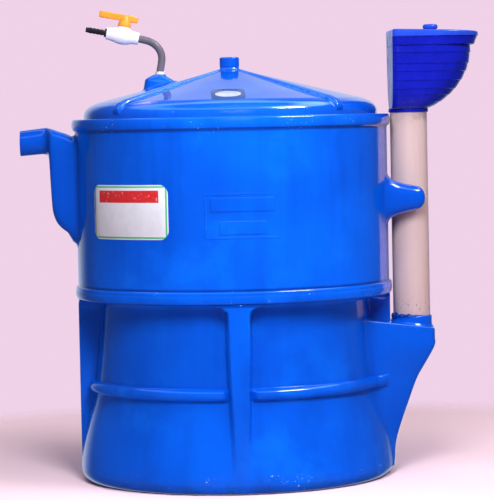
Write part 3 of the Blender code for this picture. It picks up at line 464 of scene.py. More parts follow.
def tape_material():
    """Wound thread tape with frayed fibres and smears of sealant."""
    base = tuple(settings("finish").tape)
    s = Shader("thread_tape", base, 0.7, specular=0.3)
    fibres = s.noise(160.0, 4.0, 0.6, s.stretched((1.0, 1.0, 9.0)))
    tone = s.mix(fibres.step(0.35, 0.7) * 0.5, base, (0.52, 0.47, 0.36))
    s.colour(s.mix(s.noise(70.0, 4.0, 0.6).step(0.58, 0.66) * 0.7, tone, (0.10, 0.10, 0.16)))
    s.roughness(fibres * 0.3 + 0.5)
    s.normal(s.bump(fibres, 0.0008, 0.7))
    return s.material


# Mesh helpers


def mesh_object(name, points, faces, sharp=38.0, material=None):
    """A named object, raised onto the ground, whose faces point outwards.

    Its smooth faces break where they meet at more than the angle sharp, in degrees."""
    mesh = bpy.data.meshes.new(name)
    mesh.from_pydata(points, [], faces)
    mesh.transform(Matrix.Translation((0.0, 0.0, LIFT)))
    bm = bmesh.new()
    bm.from_mesh(mesh)
    bmesh.ops.remove_doubles(bm, verts=bm.verts, dist=2e-6)
    bmesh.ops.dissolve_degenerate(bm, edges=bm.edges, dist=1e-6)
    bmesh.ops.recalc_face_normals(bm, faces=bm.faces)
    bm.to_mesh(mesh)
    bm.free()
    mesh.shade_smooth()
    mesh.set_sharp_from_angle(angle=math.radians(sharp))
    mesh.materials.append(material)
    made = bpy.data.objects.new(name, mesh)
    bpy.context.scene.collection.objects.link(made)
    return made


def ring_faces(count, around, first=0, wrap=False, caps=True):
    """Faces that skin rings of points which follow each other in the point list."""
    index = np.arange(first, first + count * around).reshape(count, around)
    lower, upper = (index, np.roll(index, -1, axis=0)) if wrap else (index[:-1], index[1:])
    quads = np.stack([lower, np.roll(lower, -1, axis=1), np.roll(upper, -1, axis=1), upper], axis=-1)
    faces = quads.reshape(-1, 4).tolist()
    if caps and not wrap:
        faces.append(index[0][::-1].tolist())
        faces.append(index[-1].tolist())
    return faces


def skinned(name, *shapes, caps=True, wrap=False, sharp=38.0, material=None):
    """One mesh skinned over the closed rings of each shape, the rings of a shape having equal length."""
    points, faces = [], []
    for rings in shapes:
        rings = np.asarray(rings, float)
        faces += ring_faces(len(rings), len(rings[0]), first=len(points), wrap=wrap, caps=caps)
        points += rings.reshape(-1, 3).tolist()
    return mesh_object(name, points, faces, sharp, material)


def settle(made, body, slot, *nodes):
    """Hands a finished piece to its body, in place of the nodes that it stands for; the slot is not used."""
    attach(made, body)
    if nodes:
        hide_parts(*nodes)


def smooth_curve(points, steps):
    """Points of a smooth curve through the given points, steps to each stretch."""
    points = np.asarray(points, float)
    padded = np.vstack([2 * points[0] - points[1], points, 2 * points[-1] - points[-2]])
    made = []
    for a, b, c, d in zip(padded, padded[1:], padded[2:], padded[3:]):
        for t in np.arange(steps) / steps:
            cubic = (2 * a - 5 * b + 4 * c - d) * t ** 2 + (3 * b - 3 * c + d - a) * t ** 3
            made.append(0.5 * (2 * b + (c - a) * t + cubic))
    made.append(points[-1])
    return np.array(made)


def ramp(x, low, high):
    """Smooth step from 0 at low to 1 at high."""
    t = np.clip((np.asarray(x, float) - low) / (high - low), 0.0, 1.0)
    return t * t * (3.0 - 2.0 * t)


def full_turn(steps):
    """Evenly spaced angles once round."""
    return np.linspace(0.0, math.tau, steps, endpoint=False)


def angle_between(first, second):
    """The angle from one direction to another, without its sign."""
    return np.abs((first - second + math.pi) % math.tau - math.pi)


def arc_points(centre, radius, start, end, steps):
    """Points on an arc, angles in degrees."""
    turns = np.radians(np.linspace(start, end, steps + 1))
    return np.column_stack([centre[0] + radius * np.cos(turns), centre[1] + radius * np.sin(turns)])


def at_height(outline, z):
    """A ring of points over a plan outline, at one height or at one height for each point."""
    return np.column_stack([outline, np.broadcast_to(z, len(outline))])


def circle_outline(centre_x, radius, steps):
    """Plan outline of a circle whose middle lies on the x axis."""
    turns = full_turn(steps)
    return np.column_stack([centre_x + radius * np.cos(turns), radius * np.sin(turns)])


def turned_rings(profile, steps, centre_x=0.0):
    """Rings of a shape turned about a vertical axis, one ring for each (radius, z) of its outline."""
    return [at_height(circle_outline(centre_x, radius, steps), z) for radius, z in profile]


def axis_rings(origin, axis, outline, steps):
    """Rings of a shape turned about any axis, from (distance along, radius) pairs."""
    side = axis.orthogonal().normalized()
    up = axis.cross(side)
    turns = full_turn(steps)
    ring = np.outer(np.cos(turns), np.array(side)) + np.outer(np.sin(turns), np.array(up))
    return [np.array(Vector(origin) + axis * distance) + radius * ring for distance, radius in outline]


def squared(turns, power):
    """Factor that turns a circle into a rounded square: a circle at power 2, nearly a square at power 8."""
    return (np.abs(np.cos(turns)) ** power + np.abs(np.sin(turns)) ** power) ** (-1.0 / power)


def oval(half_x, half_y, power, steps):
    """A rounded outline between an ellipse and a box, its points at even steps of angle."""
    turns = full_turn(steps)
    size = squared(turns, power)
    return np.column_stack([half_x * size * np.cos(turns), half_y * size * np.sin(turns)])


def side_ring(x, half_y, half_z, middle_z, power, steps, hug=0.0, proud=0.0, side=1.0):
    """One ring of a piece that grows sideways out of the tank.

    With hug at 1 the ring lies on the tank's wall, proud of it by the given height; with 0 it stands at x."""
    outline = oval(half_y, half_z, power, steps)
    lying = np.sqrt(WALL_RADIUS ** 2 - outline[:, 0] ** 2) + proud
    depth = (1.0 - hug) * x + hug * lying
    return np.column_stack([side * depth, outline[:, 0], middle_z + outline[:, 1]])


# Geometry Nodes


class Geometry(Nodes):
    """A Geometry Nodes tree with a named input for each of its sizes."""

    def __init__(self, name, **sizes):
        super().__init__(bpy.data.node_groups.new(name, "GeometryNodeTree"))
        face = self.tree.interface
        face.new_socket("Geometry", in_out="INPUT", socket_type="NodeSocketGeometry")
        self.chosen = {}
        for label, value in sizes.items():
            kind = "NodeSocketInt" if isinstance(value, int) else "NodeSocketFloat"
            socket = face.new_socket(label.replace("_", " ").capitalize(), in_out="INPUT", socket_type=kind)
            socket.default_value = value
            self.chosen[socket.identifier] = value
        face.new_socket("Geometry", in_out="OUTPUT", socket_type="NodeSocketGeometry")
        inlet = self.make("NodeGroupInput")
        self.path = Value(self, inlet.outputs[0])
        self.sizes = [Value(self, socket) for socket in inlet.outputs[1:len(sizes) + 1]]

    def shape(self, kind, options=None, **inputs):
        """The result of a geometry node; its inputs are named in small letters."""
        named = {label.replace("_", " ").title(): value for label, value in inputs.items()}
        return Value(self, self.make("GeometryNode" + kind, options, named).outputs[0])

    def swept(self, curve, profile, caps=True):
        """A profile carried along a curve."""
        return self.shape("CurveToMesh", curve=curve, profile_curve=profile, fill_caps=caps)

    def upward(self, height):
        """A vector that points straight up."""
        return Value(self, self.make("ShaderNodeCombineXYZ", None, {"Z": height}).outputs[0])

    def raised(self, shape, height):
        """A shape moved up."""
        return self.shape("Transform", geometry=shape, translation=self.upward(height))

    def join(self, *shapes):
        """Puts several shapes together."""
        node = self.make("GeometryNodeJoinGeometry")
        for shape in shapes:
            self.feed(node.inputs[0], shape)
        return Value(self, node.outputs[0])

    def finished(self, name, shape, material, path=((0.0, 0.0, 0.0),), turned=Matrix()):
        """The tree's result as a plain mesh object, turned into its place and raised onto the ground."""
        realized = self.shape("RealizeInstances", geometry=shape)
        coloured = self.shape("SetMaterial", geometry=realized, material=material)
        self.feed(self.make("NodeGroupOutput").inputs[0], coloured)
        mesh = bpy.data.meshes.new(name + "_path")
        mesh.from_pydata([tuple(point) for point in path], [(k, k + 1) for k in range(len(path) - 1)], [])
        made = bpy.data.objects.new(name, mesh)
        bpy.context.scene.collection.objects.link(made)
        modifier = made.modifiers.new(self.tree.name, "NODES")
        modifier.node_group = self.tree
        for identifier, value in self.chosen.items():
            modifier[identifier] = value
        graph = bpy.context.evaluated_depsgraph_get()
        plain = bpy.data.meshes.new_from_object(made.evaluated_get(graph))
        made.modifiers.remove(modifier)
        made.data = plain
        bpy.data.meshes.remove(mesh)
        plain.name = name
        plain.transform(Matrix.Translation((0.0, 0.0, LIFT)) @ turned)
        plain.shade_smooth()
        plain.set_sharp_from_angle(angle=math.radians(40.0))
        return made


# Tank moulding


# Outline of the recessed panels from the base up to their rounded top: (height, radius)
PANEL_PROFILE = ((0.045, 0.5260), (0.105, 0.5185), (0.190, 0.5015), (0.290, 0.4790), (0.440, 0.4640),
                 (0.560, 0.4560), (0.594, 0.4550))
PANEL_CURVE = smooth_curve(PANEL_PROFILE, 6)
PANEL_TOP_RADIUS = 0.4555
PANEL_TOP_FILLET = 0.022
LEDGE_WALL = 0.003
GROUND_Z = -LIFT
AXIS_HOLE = 0.004
RIB_CORNER = 0.042
RIB_CORNER_ANGLE = math.radians(4.9)
BELT_END_ANGLE = math.radians(2.6)
BELT_FOOT = (0.010, 0.0022)
POCKET_SIDE_ANGLE = math.radians(18.5)


def panel_radius(z):
    """Radius of the recessed panels at a height."""
    return np.interp(z, PANEL_CURVE[:, 0], PANEL_CURVE[:, 1])


def tank_levels(tank):
    """Two outlines (radius, z) of the tank's outside from the floor's middle to the rim's crown.

    The first runs up the recessed panels and the second up the column ribs."""
    rib_r, fillet = tank.base_radius, PANEL_TOP_FILLET
    centre = (rib_r - tank.base_fillet, GROUND_Z + tank.base_fillet)
    floor = [(radius, GROUND_Z) for radius in (AXIS_HOLE, 0.20, 0.40)]
    floor += [*arc_points(centre, tank.base_fillet, -90, 0, 12)]
    belt = tank.belt_z + tank.belt_half * np.sin(np.radians(np.linspace(-90, 90, 17)))
    heights = np.concatenate([np.linspace(0.038, 0.262, 17), [0.272, 0.280], belt, [0.333, 0.341],
                              np.linspace(0.355, 0.560, 12)])
    panel = floor + [(panel_radius(z), z) for z in heights]
    rib = floor + [(max(rib_r, panel_radius(z)), z) for z in heights]
    top = tank.ledge_z - LEDGE_WALL
    for x, z in arc_points((PANEL_TOP_RADIUS + fillet, top - fillet), fillet, 180, 90, 9)[1:]:
        panel.append((x, z))
        rib.append((rib_r, z - (z - (top - fillet)) * 0.25))
    start = PANEL_TOP_RADIUS + fillet
    for share in (0.35, 0.7, 1.0):
        panel.append((start + (tank.radius - 0.0015 - start) * share, top))
        rib.append((rib_r + 0.0004 * share, top - 0.005 * (1.0 - share)))
    shared = upper_outline(tank)
    return np.array(panel + shared), np.array(rib + shared)


def upper_outline(tank):
    """Outline (radius, z) of the bead, the straight wall and the rolled rim up to its crown."""
    radius = tank.radius
    outline = []
    for turn in np.radians(np.linspace(-90, 90, 31)):
        out = radius + (tank.bead_radius - radius) * math.cos(turn) ** 0.75
        out -= tank.bead_groove * math.exp(-(((math.sin(turn) - 0.36) / 0.16) ** 2))
        outline.append((out, tank.bead_z + tank.bead_half * math.sin(turn)))
    outline += [(radius, z) for z in (tank.bead_z + tank.bead_half + 0.004, *np.linspace(0.70, 1.12, 8))]
    outline += [(radius, tank.rim_bottom - 0.010), (radius + 0.0008, tank.rim_bottom - 0.004),
                (radius + 0.003, tank.rim_bottom - 0.0003)]
    inner = radius - tank.wall
    middle, half = (tank.rim_radius + inner) / 2, (tank.rim_radius - inner) / 2
    middle_z, half_z = (tank.rim_bottom + tank.rim_top) / 2, (tank.rim_top - tank.rim_bottom) / 2
    for turn in np.radians(np.linspace(-62, 90, 20)):
        outline.append((middle + half * math.cos(turn) ** 0.92, middle_z + half_z * math.sin(turn)))
    return outline


def rib_share(theta, z, tank):
    """1 on a column rib's face, 0 on the recessed panels; ribs flare into rounded corners at the top."""
    gap = np.min([angle_between(theta, middle) for middle in np.radians((0.0, 90.0, 180.0, 270.0))], axis=0)
    near = np.clip((z - (tank.ledge_z - LEDGE_WALL - RIB_CORNER)) / RIB_CORNER, 0.0, 1.0)
    flare = RIB_CORNER_ANGLE * (1.0 - math.sqrt(max(0.0, 1.0 - near ** 2)))
    half = tank.rib_half * (0.48 + 0.52 * float(ramp(z, 0.02, 0.50))) + flare
    return 1.0 - ramp(gap, half, half + tank.rib_cheek)


def belt_share(theta, tank):
    """1 along a belt rib, rounded to 0 where it ends beside a column rib or the inlet pocket."""
    quarter = theta % (math.pi / 2)
    start = tank.rib_half + tank.rib_cheek * 0.55
    inside = np.minimum(quarter - start, math.pi / 2 - start - quarter)
    share = np.sqrt(1.0 - (1.0 - np.clip(inside / BELT_END_ANGLE, 0.0, 1.0)) ** 2)
    past_pocket = (angle_between(theta, 0.0) - POCKET_SIDE_ANGLE) / math.radians(3.0)
    return share * np.clip(past_pocket, 0.0, 1.0)


def belt_lift(z, tank):
    """How far a belt rib stands out of the panel at a height, with a low foot that fades into the panel."""
    away = abs(z - tank.belt_z)
    reach, foot = BELT_FOOT
    fade = max(0.0, 1.0 - away / (tank.belt_half + reach))
    return max(tank.belt_depth * math.sqrt(max(0.0, 1.0 - (away / tank.belt_half) ** 2)), foot * fade ** 2)


def tank_angles():
    """Angles round the tank, close together at the column ribs and wide apart on the panels."""
    quarter, edge = math.pi / 2, math.radians(12.0)
    near = np.linspace(-edge, edge, 61)
    between = np.linspace(edge, quarter - edge, 46)[1:-1]
    return np.concatenate([np.concatenate([near, between]) + quarter * i for i in range(4)])


def tank_rings(tank):
    """Rings of the tank's whole skin, outside up to the rim and inside down to the floor."""
    theta = tank_angles()
    belts = belt_share(theta, tank)
    across = np.column_stack([np.cos(theta), np.sin(theta)])
    rings = []
    for (panel_r, panel_z), (rib_r, rib_z) in zip(*tank_levels(tank)):
        share = np.zeros(len(theta))
        if 0.026 < panel_z < tank.ledge_z:
            share = rib_share(theta, max(panel_z, rib_z), tank)
        radius = (panel_r + belt_lift(panel_z, tank) * belts) * (1.0 - share) + rib_r * share
        z = panel_z * (1.0 - share) + rib_z * share
        rings.append(at_height(across * radius[:, None], z))
    return rings + [at_height(across * radius, z) for radius, z in inner_outline(tank)]


def inner_outline(tank):
    """Outline (radius, z) of the tank's inside from the rim's crown down to the floor's middle."""
    wall = tank.wall
    inner_r = tank.radius - wall
    crown = (tank.rim_radius + inner_r) / 2
    outline = [(crown - (crown - inner_r) * 0.75, tank.rim_top - 0.0035), (inner_r, tank.rim_top - 0.014)]
    outline += [(inner_r, z) for z in (1.10, 0.90, 0.70, tank.ledge_z + 0.004)]
    outline += [(inner_r - 0.003, tank.ledge_z), (0.4535, tank.ledge_z), (0.4490, tank.ledge_z - 0.005)]
    outline += [(0.4500, 0.560), (0.458, 0.44), (0.473, 0.29), (0.4955, 0.19), (0.5125, 0.105),
                (0.5195, 0.045)]
    centre = (tank.base_radius - tank.base_fillet, GROUND_Z + tank.base_fillet)
    outline += [*arc_points(centre, tank.base_fillet - wall, 0, -90, 6)]
    return outline + [(0.25, GROUND_Z + wall), (AXIS_HOLE, GROUND_Z + wall)]


class DIGESTER_OT_tank(Operator):
    """Build the tank's moulding with its ribs, bead and rolled rim"""

    bl_idname = "digester.tank"
    bl_label = "Tank moulding"

    def execute(self, context):
        tank = settings("tank")
        bands = ((0.0, 0.050, 0.052), (0.598, 0.640, 0.040), (1.150, 1.20, 0.045))
        # Heights and reach of the painted shade lines under the rim and above and below the bead
        shaded_creases = ((tank.rim_bottom - 0.002, 0.0085), (tank.bead_z + tank.bead_half + 0.003, 0.0060),
                   (tank.bead_z - tank.bead_half - 0.004, 0.0090))
        material = gelcoat_material("blue_gelcoat_tank", bands, shaded_creases=shaded_creases)
        moulding = skinned("tank_moulding", tank_rings(tank), sharp=55.0, material=material)
        settle(moulding, "digester", "body_blue", *TANK_NODES)
        return {"FINISHED"}


# Gas holder


SHOULDER = ((0.4945, 1.2000), (0.4938, 1.2120), (0.4905, 1.2225), (0.4845, 1.2315), (0.4755, 1.2395),
            (0.4650, 1.2450), (0.4500, 1.2515))
SKIRT_FOOT = 0.6000
STUB_TOP = 1.3668
STUB_FILLET = 0.012


def cone_z(radius, holder):
    """Height of the dome's cone at a distance from the axis."""
    return holder.cone_edge_z + (holder.cone_radius - radius) * holder.cone_slope


def holder_angles(middles):
    """Angles round the holder, close together at its four ribs."""
    near = np.concatenate([np.linspace(-16, -5, 10)[:-1], np.linspace(-5, 5, 45), np.linspace(5, 16, 10)[1:]])
    close = [middle + np.radians(near) for middle in middles]
    theta = np.concatenate(close + [np.radians(np.arange(0, 360, 1.6))])
    theta = np.unique(np.round(theta % math.tau, 5))
    return theta[np.concatenate([[True], np.diff(theta) > 0.0016])]


def holder_outline(holder):
    """Outline (radius, z) of the holder up the skirt and over the cone to the stub's shoulder."""
    skirt = [(holder.radius, z) for z in (SKIRT_FOOT, 0.75, 0.95, 1.10, 1.17, 1.19)]
    radii = (0.443, 0.435, *np.linspace(0.424, 0.10, 32), *np.linspace(0.092, 0.050, 6))
    foot_r = holder.stub_radius + STUB_FILLET
    foot = arc_points((foot_r, cone_z(foot_r, holder) + STUB_FILLET), STUB_FILLET, 256, 180, 6)
    return np.array([*skirt, *smooth_curve(SHOULDER, 5), *((r, cone_z(r, holder)) for r in radii), *foot,
                     (holder.stub_radius, STUB_TOP)])


def rib_section(gap, radius, z, holder):
    """How far the dome's ribs stand out at a place on its outline, at each angle from the nearest rib."""
    grow = float(ramp(radius, 0.02, 0.36))
    rise = float(ramp(z, holder.shoulder_z + 0.008, holder.shoulder_z + 0.026)) if radius > 0.44 else 1.0
    fade = float(ramp(radius, holder.stub_radius - 0.004, holder.stub_radius + 0.016))
    height = (holder.rib_low + (holder.rib_height - holder.rib_low) * grow) * rise * fade
    half = holder.rib_half * (0.52 + 0.48 * grow) * (1.0 + 0.10 * float(ramp(radius, 0.44, 0.485)))
    away = np.sin(np.minimum(gap, math.pi / 2)) * radius / half
    body = np.sqrt(np.clip(1.0 - (away / 1.02) ** 4, 0.0, 1.0)) * (1.0 - ramp(away, 0.55, 1.35) * 0.35)
    return height * np.maximum(body, 0.10 * (1.0 - ramp(away, 0.9, 1.5)))


def holder_rings(holder):
    """Rings of the holder from its top over the ribbed dome and down the skirt, then back up inside."""
    outline = holder_outline(holder)
    right = [math.radians(43.0) + holder.turned, math.radians(137.0) + holder.turned]
    middles = right + [middle + math.pi for middle in right]
    theta = holder_angles(middles)
    across = np.column_stack([np.cos(theta), np.sin(theta)])
    gap = np.min([angle_between(theta, middle) for middle in middles], axis=0)
    rings = []
    for (radius, z), (dr, dz) in zip(outline, np.gradient(outline, axis=0)):
        steep = math.hypot(dr, dz)
        lift = rib_section(gap, radius, z, holder)
        rings.append(at_height(across * (radius + dz / steep * lift)[:, None], z - dr / steep * lift))
    rings.append(at_height(across * AXIS_HOLE, STUB_TOP))
    wall = holder.wall
    inner = [(holder.radius - wall, SKIRT_FOOT), (holder.radius - wall, 1.195)]
    inner += [(r - wall * 0.8, z - wall * 0.6) for r, z in SHOULDER[2:]]
    inner += [(r, cone_z(r, holder) - wall) for r in (0.36, 0.20, 0.08, AXIS_HOLE)]
    return rings[::-1] + [at_height(across * r, z) for r, z in inner]


def stub_cap_rings():
    """Rings of the stub's flat cap with a small rounded edge and a shallow seam at its foot."""
    outline = [(0.0325, 1.3650), (0.0332, STUB_TOP), (0.0334, 1.3700), (0.0333, 1.3905)]
    outline += [*arc_points((0.0273, 1.3920), 0.0060, 0, 90, 7), (0.016, 1.39815), (0.002, 1.3982)]
    return turned_rings(outline, 72)


class DIGESTER_OT_holder(Operator):
    """Build the floating gas holder with its ribbed cone, and the cap of its stub"""

    bl_idname = "digester.holder"
    bl_label = "Gas holder"

    def execute(self, context):
        material = gelcoat_material("blue_gelcoat_holder", ((1.198, 1.216, 0.02),), gloss=0.85)
        shell = skinned("holder_moulding", holder_rings(settings("holder")), sharp=50.0, material=material)
        settle(shell, "gas_holder", "body_blue", *HOLDER_NODES)
        cap = skinned("stub_cap_moulding", stub_cap_rings(), material=material)
        settle(cap, "gas_holder", "body_blue", "stub_cap")
        return {"FINISHED"}


# Overflow outlet


# Root rings lying on the tank: (half width, low z, high z, height over the wall)
OUTLET_ROOT = ((0.1150, 0.7640, 1.1610, -0.0006), (0.1060, 0.7740, 1.1500, 0.0018),
               (0.1000, 0.7830, 1.1455, 0.0065), (0.0965, 0.7900, 1.1445, 0.0150))
# Free rings: (distance from the axis, low z, high z, half width, squareness)
OUTLET_STATIONS = ((0.5550, 0.8200, 1.1529, 0.0918, 7.0), (0.5750, 0.8360, 1.1595, 0.0891, 7.0),
                   (0.5900, 0.8540, 1.1649, 0.0865, 6.5), (0.6000, 0.8780, 1.1685, 0.0835, 6.0),
                   (0.6045, 0.9050, 1.1700, 0.0805, 5.5), (0.6085, 0.9850, 1.1712, 0.0760, 4.5),
                   (0.6110, 1.0450, 1.1720, 0.0700, 3.5), (0.6135, 1.0680, 1.1728, 0.0620, 3.0),
                   (0.6180, 1.0795, 1.1735, 0.0540, 2.6), (0.6250, 1.0835, 1.1735, 0.0470, 2.2))
OUTLET_STEPS = 120
# The spout's outside and its bore: (distance from the axis, inset from the outer or the inner radius)
SPOUT_OUTSIDE = ((0.635, 0.0), (0.660, 0.0007), (0.690, 0.0012))
SPOUT_BORE = ((0.680, 0.0010), (0.640, 0.0015), (0.602, 0.0020), (0.585, 0.0100))
# The rounding of its lip: (distance back from the end, inset from the outer radius)
SPOUT_LIP = ((0.0040, 0.0014), (0.0008, 0.0018), (0.0, 0.0028))


def outlet_ring(x, half_y, low, high, power, **how):
    """One ring of the outlet, between two heights."""
    return side_ring(x, half_y, (high - low) / 2, (low + high) / 2, power, OUTLET_STEPS, side=-1.0, **how)


def outlet_rings(outlet):
    """Rings of the overflow chamber and its spout, from the tank's wall out to the lip and back inside."""
    rings = []
    for half, low, high, proud in OUTLET_ROOT:
        rings.append(outlet_ring(0.0, half, low, high, 6.0, hug=1.0, proud=proud))
    for x, low, high, half, power in smooth_curve(OUTLET_STATIONS, 3):
        lean = float(1.0 - ramp(x, 0.555, 0.600)) * 0.30
        rings.append(outlet_ring(x, half, low, high, power, hug=lean, proud=x - WALL_RADIUS))
    radius, end = outlet.spout_radius, outlet.end_x
    inner = radius - outlet.spout_wall
    spout = [(x, radius - inset) for x, inset in SPOUT_OUTSIDE]
    spout += [(end - back, radius - inset) for back, inset in SPOUT_LIP]
    spout += [(end, inner + 0.0006), (end - 0.0016, inner - 0.0008)]
    spout += [(x, inner - inset) for x, inset in SPOUT_BORE]
    for x, size in spout:
        middle = outlet.spout_z - (x - outlet.face_x) * math.tan(outlet.droop)
        rings.append(outlet_ring(x, size, middle - size, middle + size, 2.0))
    return rings


class DIGESTER_OT_outlet(Operator):
    """Build the overflow chamber with its drooping spout"""

    bl_idname = "digester.outlet"
    bl_label = "Overflow outlet"

    def execute(self, context):
        # The outlet carries painted shade: three quarters of the deep blue over the whole piece.
        material = gelcoat_material("blue_gelcoat_outlet", depth=0.75)
        moulding = skinned("outlet_moulding", outlet_rings(settings("outlet")), sharp=50.0, material=material)
        settle(moulding, "digester", "body_blue", "outlet_chamber", "outlet_spout")
        return {"FINISHED"}


# Inlet pocket, socket and lugs


# Outline of the pocket's nose: (height, distance from the axis)
POCKET_EDGE = ((0.0160, 0.5245), (0.0470, 0.5300), (0.1000, 0.5385), (0.1930, 0.5680), (0.3010, 0.6100),
               (0.3550, 0.6420), (0.4140, 0.6750), (0.4420, 0.6760))
POCKET_CURVE = smooth_curve(POCKET_EDGE, 6)
# Where the pocket's flank leaves the tank in plan, and half the width of its flat nose
POCKET_ROOT = (0.400, 0.181)
POCKET_FACE_HALF = 0.088
POCKET_RISE = 0.0229 / 0.151
POCKET_EDGE_RADIUS = 0.009
POCKET_WALL = 0.004
SOCKET_BORE = 0.0585
SOCKET_STEPS = 96

# Sections of a lug outward from the tank: (x, half height, width)
LUG_STATIONS = ((0.546, 0.0565, 0.080), (0.575, 0.0480, 0.076), (0.602, 0.0420, 0.072),
                (0.620, 0.0375, 0.066), (0.632, 0.0295, 0.056), (0.639, 0.0180, 0.040),
                (0.6415, 0.0070, 0.020), (0.6417, 0.0020, 0.006))
# Its flared root: (half height, width, height over the wall)
LUG_ROOT = ((0.0920, 0.110, -0.0006), (0.0780, 0.098, 0.0035), (0.0670, 0.090, 0.0115))
LUG_Z = 0.915
LUG_STEPS = 64
# Distance of a lug's middle from the pipe's: the pipe's radius, a gap and half the lug
LUG_ASIDE = 0.0625 + 0.0025 + 0.040


def soft_max(a, b, blend):
    """The larger of the two with a rounded inner corner."""
    return (a + b + np.sqrt((a - b) ** 2 + blend ** 2)) / 2


def soft_min(a, b, blend):
    """The smaller of the two with a rounded outer corner."""
    return (a + b - np.sqrt((a - b) ** 2 + blend ** 2)) / 2


def pocket_radius(theta, z):
    """Distance of the pocket's outer face from the tank's axis, at an angle from the right-hand side."""
    nose = float(np.interp(z, POCKET_CURVE[:, 0], POCKET_CURVE[:, 1]))
    turn = abs(theta)
    flat = float(ramp(nose, 0.530, 0.590))
    face = nose / math.cos(turn) * flat + nose * (1.0 - flat)
    run, rise = nose - POCKET_ROOT[0], POCKET_FACE_HALF - POCKET_ROOT[1]
    facing = math.cos(turn) * rise - math.sin(turn) * run
    flank = (POCKET_ROOT[0] * rise - POCKET_ROOT[1] * run) / facing if facing < -1e-6 else 9.0
    corner = min(0.030, max(0.006, (nose - 0.50) * 0.22))
    solid = soft_min(face, min(flank, face + 0.5), corner)
    fade = 0.0016 * float(ramp(turn, math.radians(17.0), math.radians(24.0))) + 0.0003
    return float(soft_max(panel_radius(z), solid, 0.016) - fade)


def pocket_roof(x):
    """Height of the pocket's sloping ledge."""
    feed = settings("feed")
    return feed.pocket_top + POCKET_RISE * (feed.pocket_x - x)


def pocket_column(theta, tank):
    """Closed outline of the pocket at one angle: up its face, in over its ledge and down inside the wall."""
    outline = [(pocket_radius(theta, z), z) for z in (0.016, 0.030, 0.047, 0.065, 0.085)]
    belt = tank.belt_z + tank.belt_half * np.sin(np.radians(np.linspace(-90, 90, 15)))
    on_belt = float(ramp(abs(theta), math.radians(14.0), POCKET_SIDE_ANGLE))
    for z in np.sort(np.concatenate([np.linspace(0.105, 0.280, 13), belt, np.linspace(0.334, 0.440, 8)])):
        round_off = math.sqrt(max(0.0, 1.0 - ((z - tank.belt_z) / tank.belt_half) ** 2))
        outline.append((pocket_radius(theta, z) + tank.belt_depth * on_belt * round_off, z))
    reach = pocket_radius(theta, POCKET_EDGE[-1][0])
    edge_z = pocket_roof(reach * math.cos(theta))
    bend = POCKET_EDGE_RADIUS
    outline += [(reach, z) for z in np.linspace(0.448, edge_z - bend, 3)[:-1]]
    for up in np.radians(np.linspace(0, 80, 7)):
        outline.append((reach - bend * (1 - math.cos(up)), edge_z - bend * (1 - math.sin(up))))
    start = outline[-1][0]
    wall = float(panel_radius(0.49))
    for share in (0.12, 0.3, 0.5, 0.7, 0.82, 0.9, 0.96, 1.0):
        radius = start + (wall - POCKET_WALL - start) * share
        near = max(0.0, 1.0 - max(0.0, radius - wall) / 0.014)
        outline.append((radius, pocket_roof(radius * math.cos(theta)) + 0.007 * near ** 2))
    outline += [(0.0, z) for z in (0.42, 0.30, 0.18, 0.09, 0.016)]
    radii = [max(radius, float(panel_radius(min(z, 0.59))) - POCKET_WALL) for radius, z in outline]
    return [(r * math.cos(theta), r * math.sin(theta), z) for r, (_, z) in zip(radii, outline)]


def pocket_rings(tank):
    """Upright sections of the inlet pocket from its front edge on the tank to its back edge."""
    half = np.concatenate([np.linspace(-24.5, -15, 14)[:-1], np.linspace(-15, -7, 22)[:-1]])
    angles = np.concatenate([half, np.linspace(-7, 7, 17), -half[::-1]])
    return [pocket_column(theta, tank) for theta in np.radians(angles)]


def socket_rings(feed):
    """Rings of the raised socket, its foot flared onto the sloping ledge."""
    outer, top = feed.pipe_radius + 0.0055, feed.socket_top
    foot = [(outer + 0.0060, -0.0040), (outer + 0.0050, 0.0006), (outer + 0.0022, 0.0030),
            (outer + 0.0006, 0.0066), (outer, 0.0110)]
    rim = [(outer, top - 0.0040), (outer - 0.0006, top - 0.0018), (outer - 0.0022, top - 0.0004),
           (outer - 0.0036, top), (feed.pipe_radius + 0.0006, top - 0.0004),
           (feed.pipe_radius + 0.0002, top - 0.012), (SOCKET_BORE, top - 0.030)]

    def on_ledge(radius, up):
        outline = circle_outline(feed.pipe_x, radius, SOCKET_STEPS)
        return at_height(outline, pocket_roof(outline[:, 0]) + up)

    rings = [on_ledge(radius, up) for radius, up in foot] + turned_rings(rim, SOCKET_STEPS, feed.pipe_x)
    return rings + [on_ledge(SOCKET_BORE, -0.010)]


def resin_rings(feed):
    """A lumpy bead of resin round the pipe's foot, thicker toward the front and the tank."""
    turns = full_turn(180)
    rough = np.random.default_rng(4)
    lumps = np.zeros(len(turns))
    for k in range(3, 26):
        lumps = lumps + rough.uniform(0.3, 1.0) / k ** 0.6 * np.sin(k * turns + rough.uniform(0, 6.3))
    lumps = 0.5 + 0.5 * lumps / np.abs(lumps).max()
    gap = angle_between(turns, math.radians(222.0))
    size = 0.0030 + 0.0100 * (1.0 - ramp(gap, math.radians(25.0), math.radians(95.0)))
    size = size * (0.45 + 0.85 * lumps)
    stations = []
    for turn, thick, lump in zip(turns, size, lumps):
        ring = []
        for bend in np.radians(np.linspace(-100, 190, 12)):
            radius = feed.pipe_radius + max(-0.0012, thick * 0.62 * math.cos(bend))
            z = feed.socket_top - 0.0015 + thick * (0.55 + 0.55 * lump) * math.sin(bend)
            ring.append((feed.pipe_x + radius * math.cos(turn), radius * math.sin(turn), z))
        stations.append(ring)
    return stations


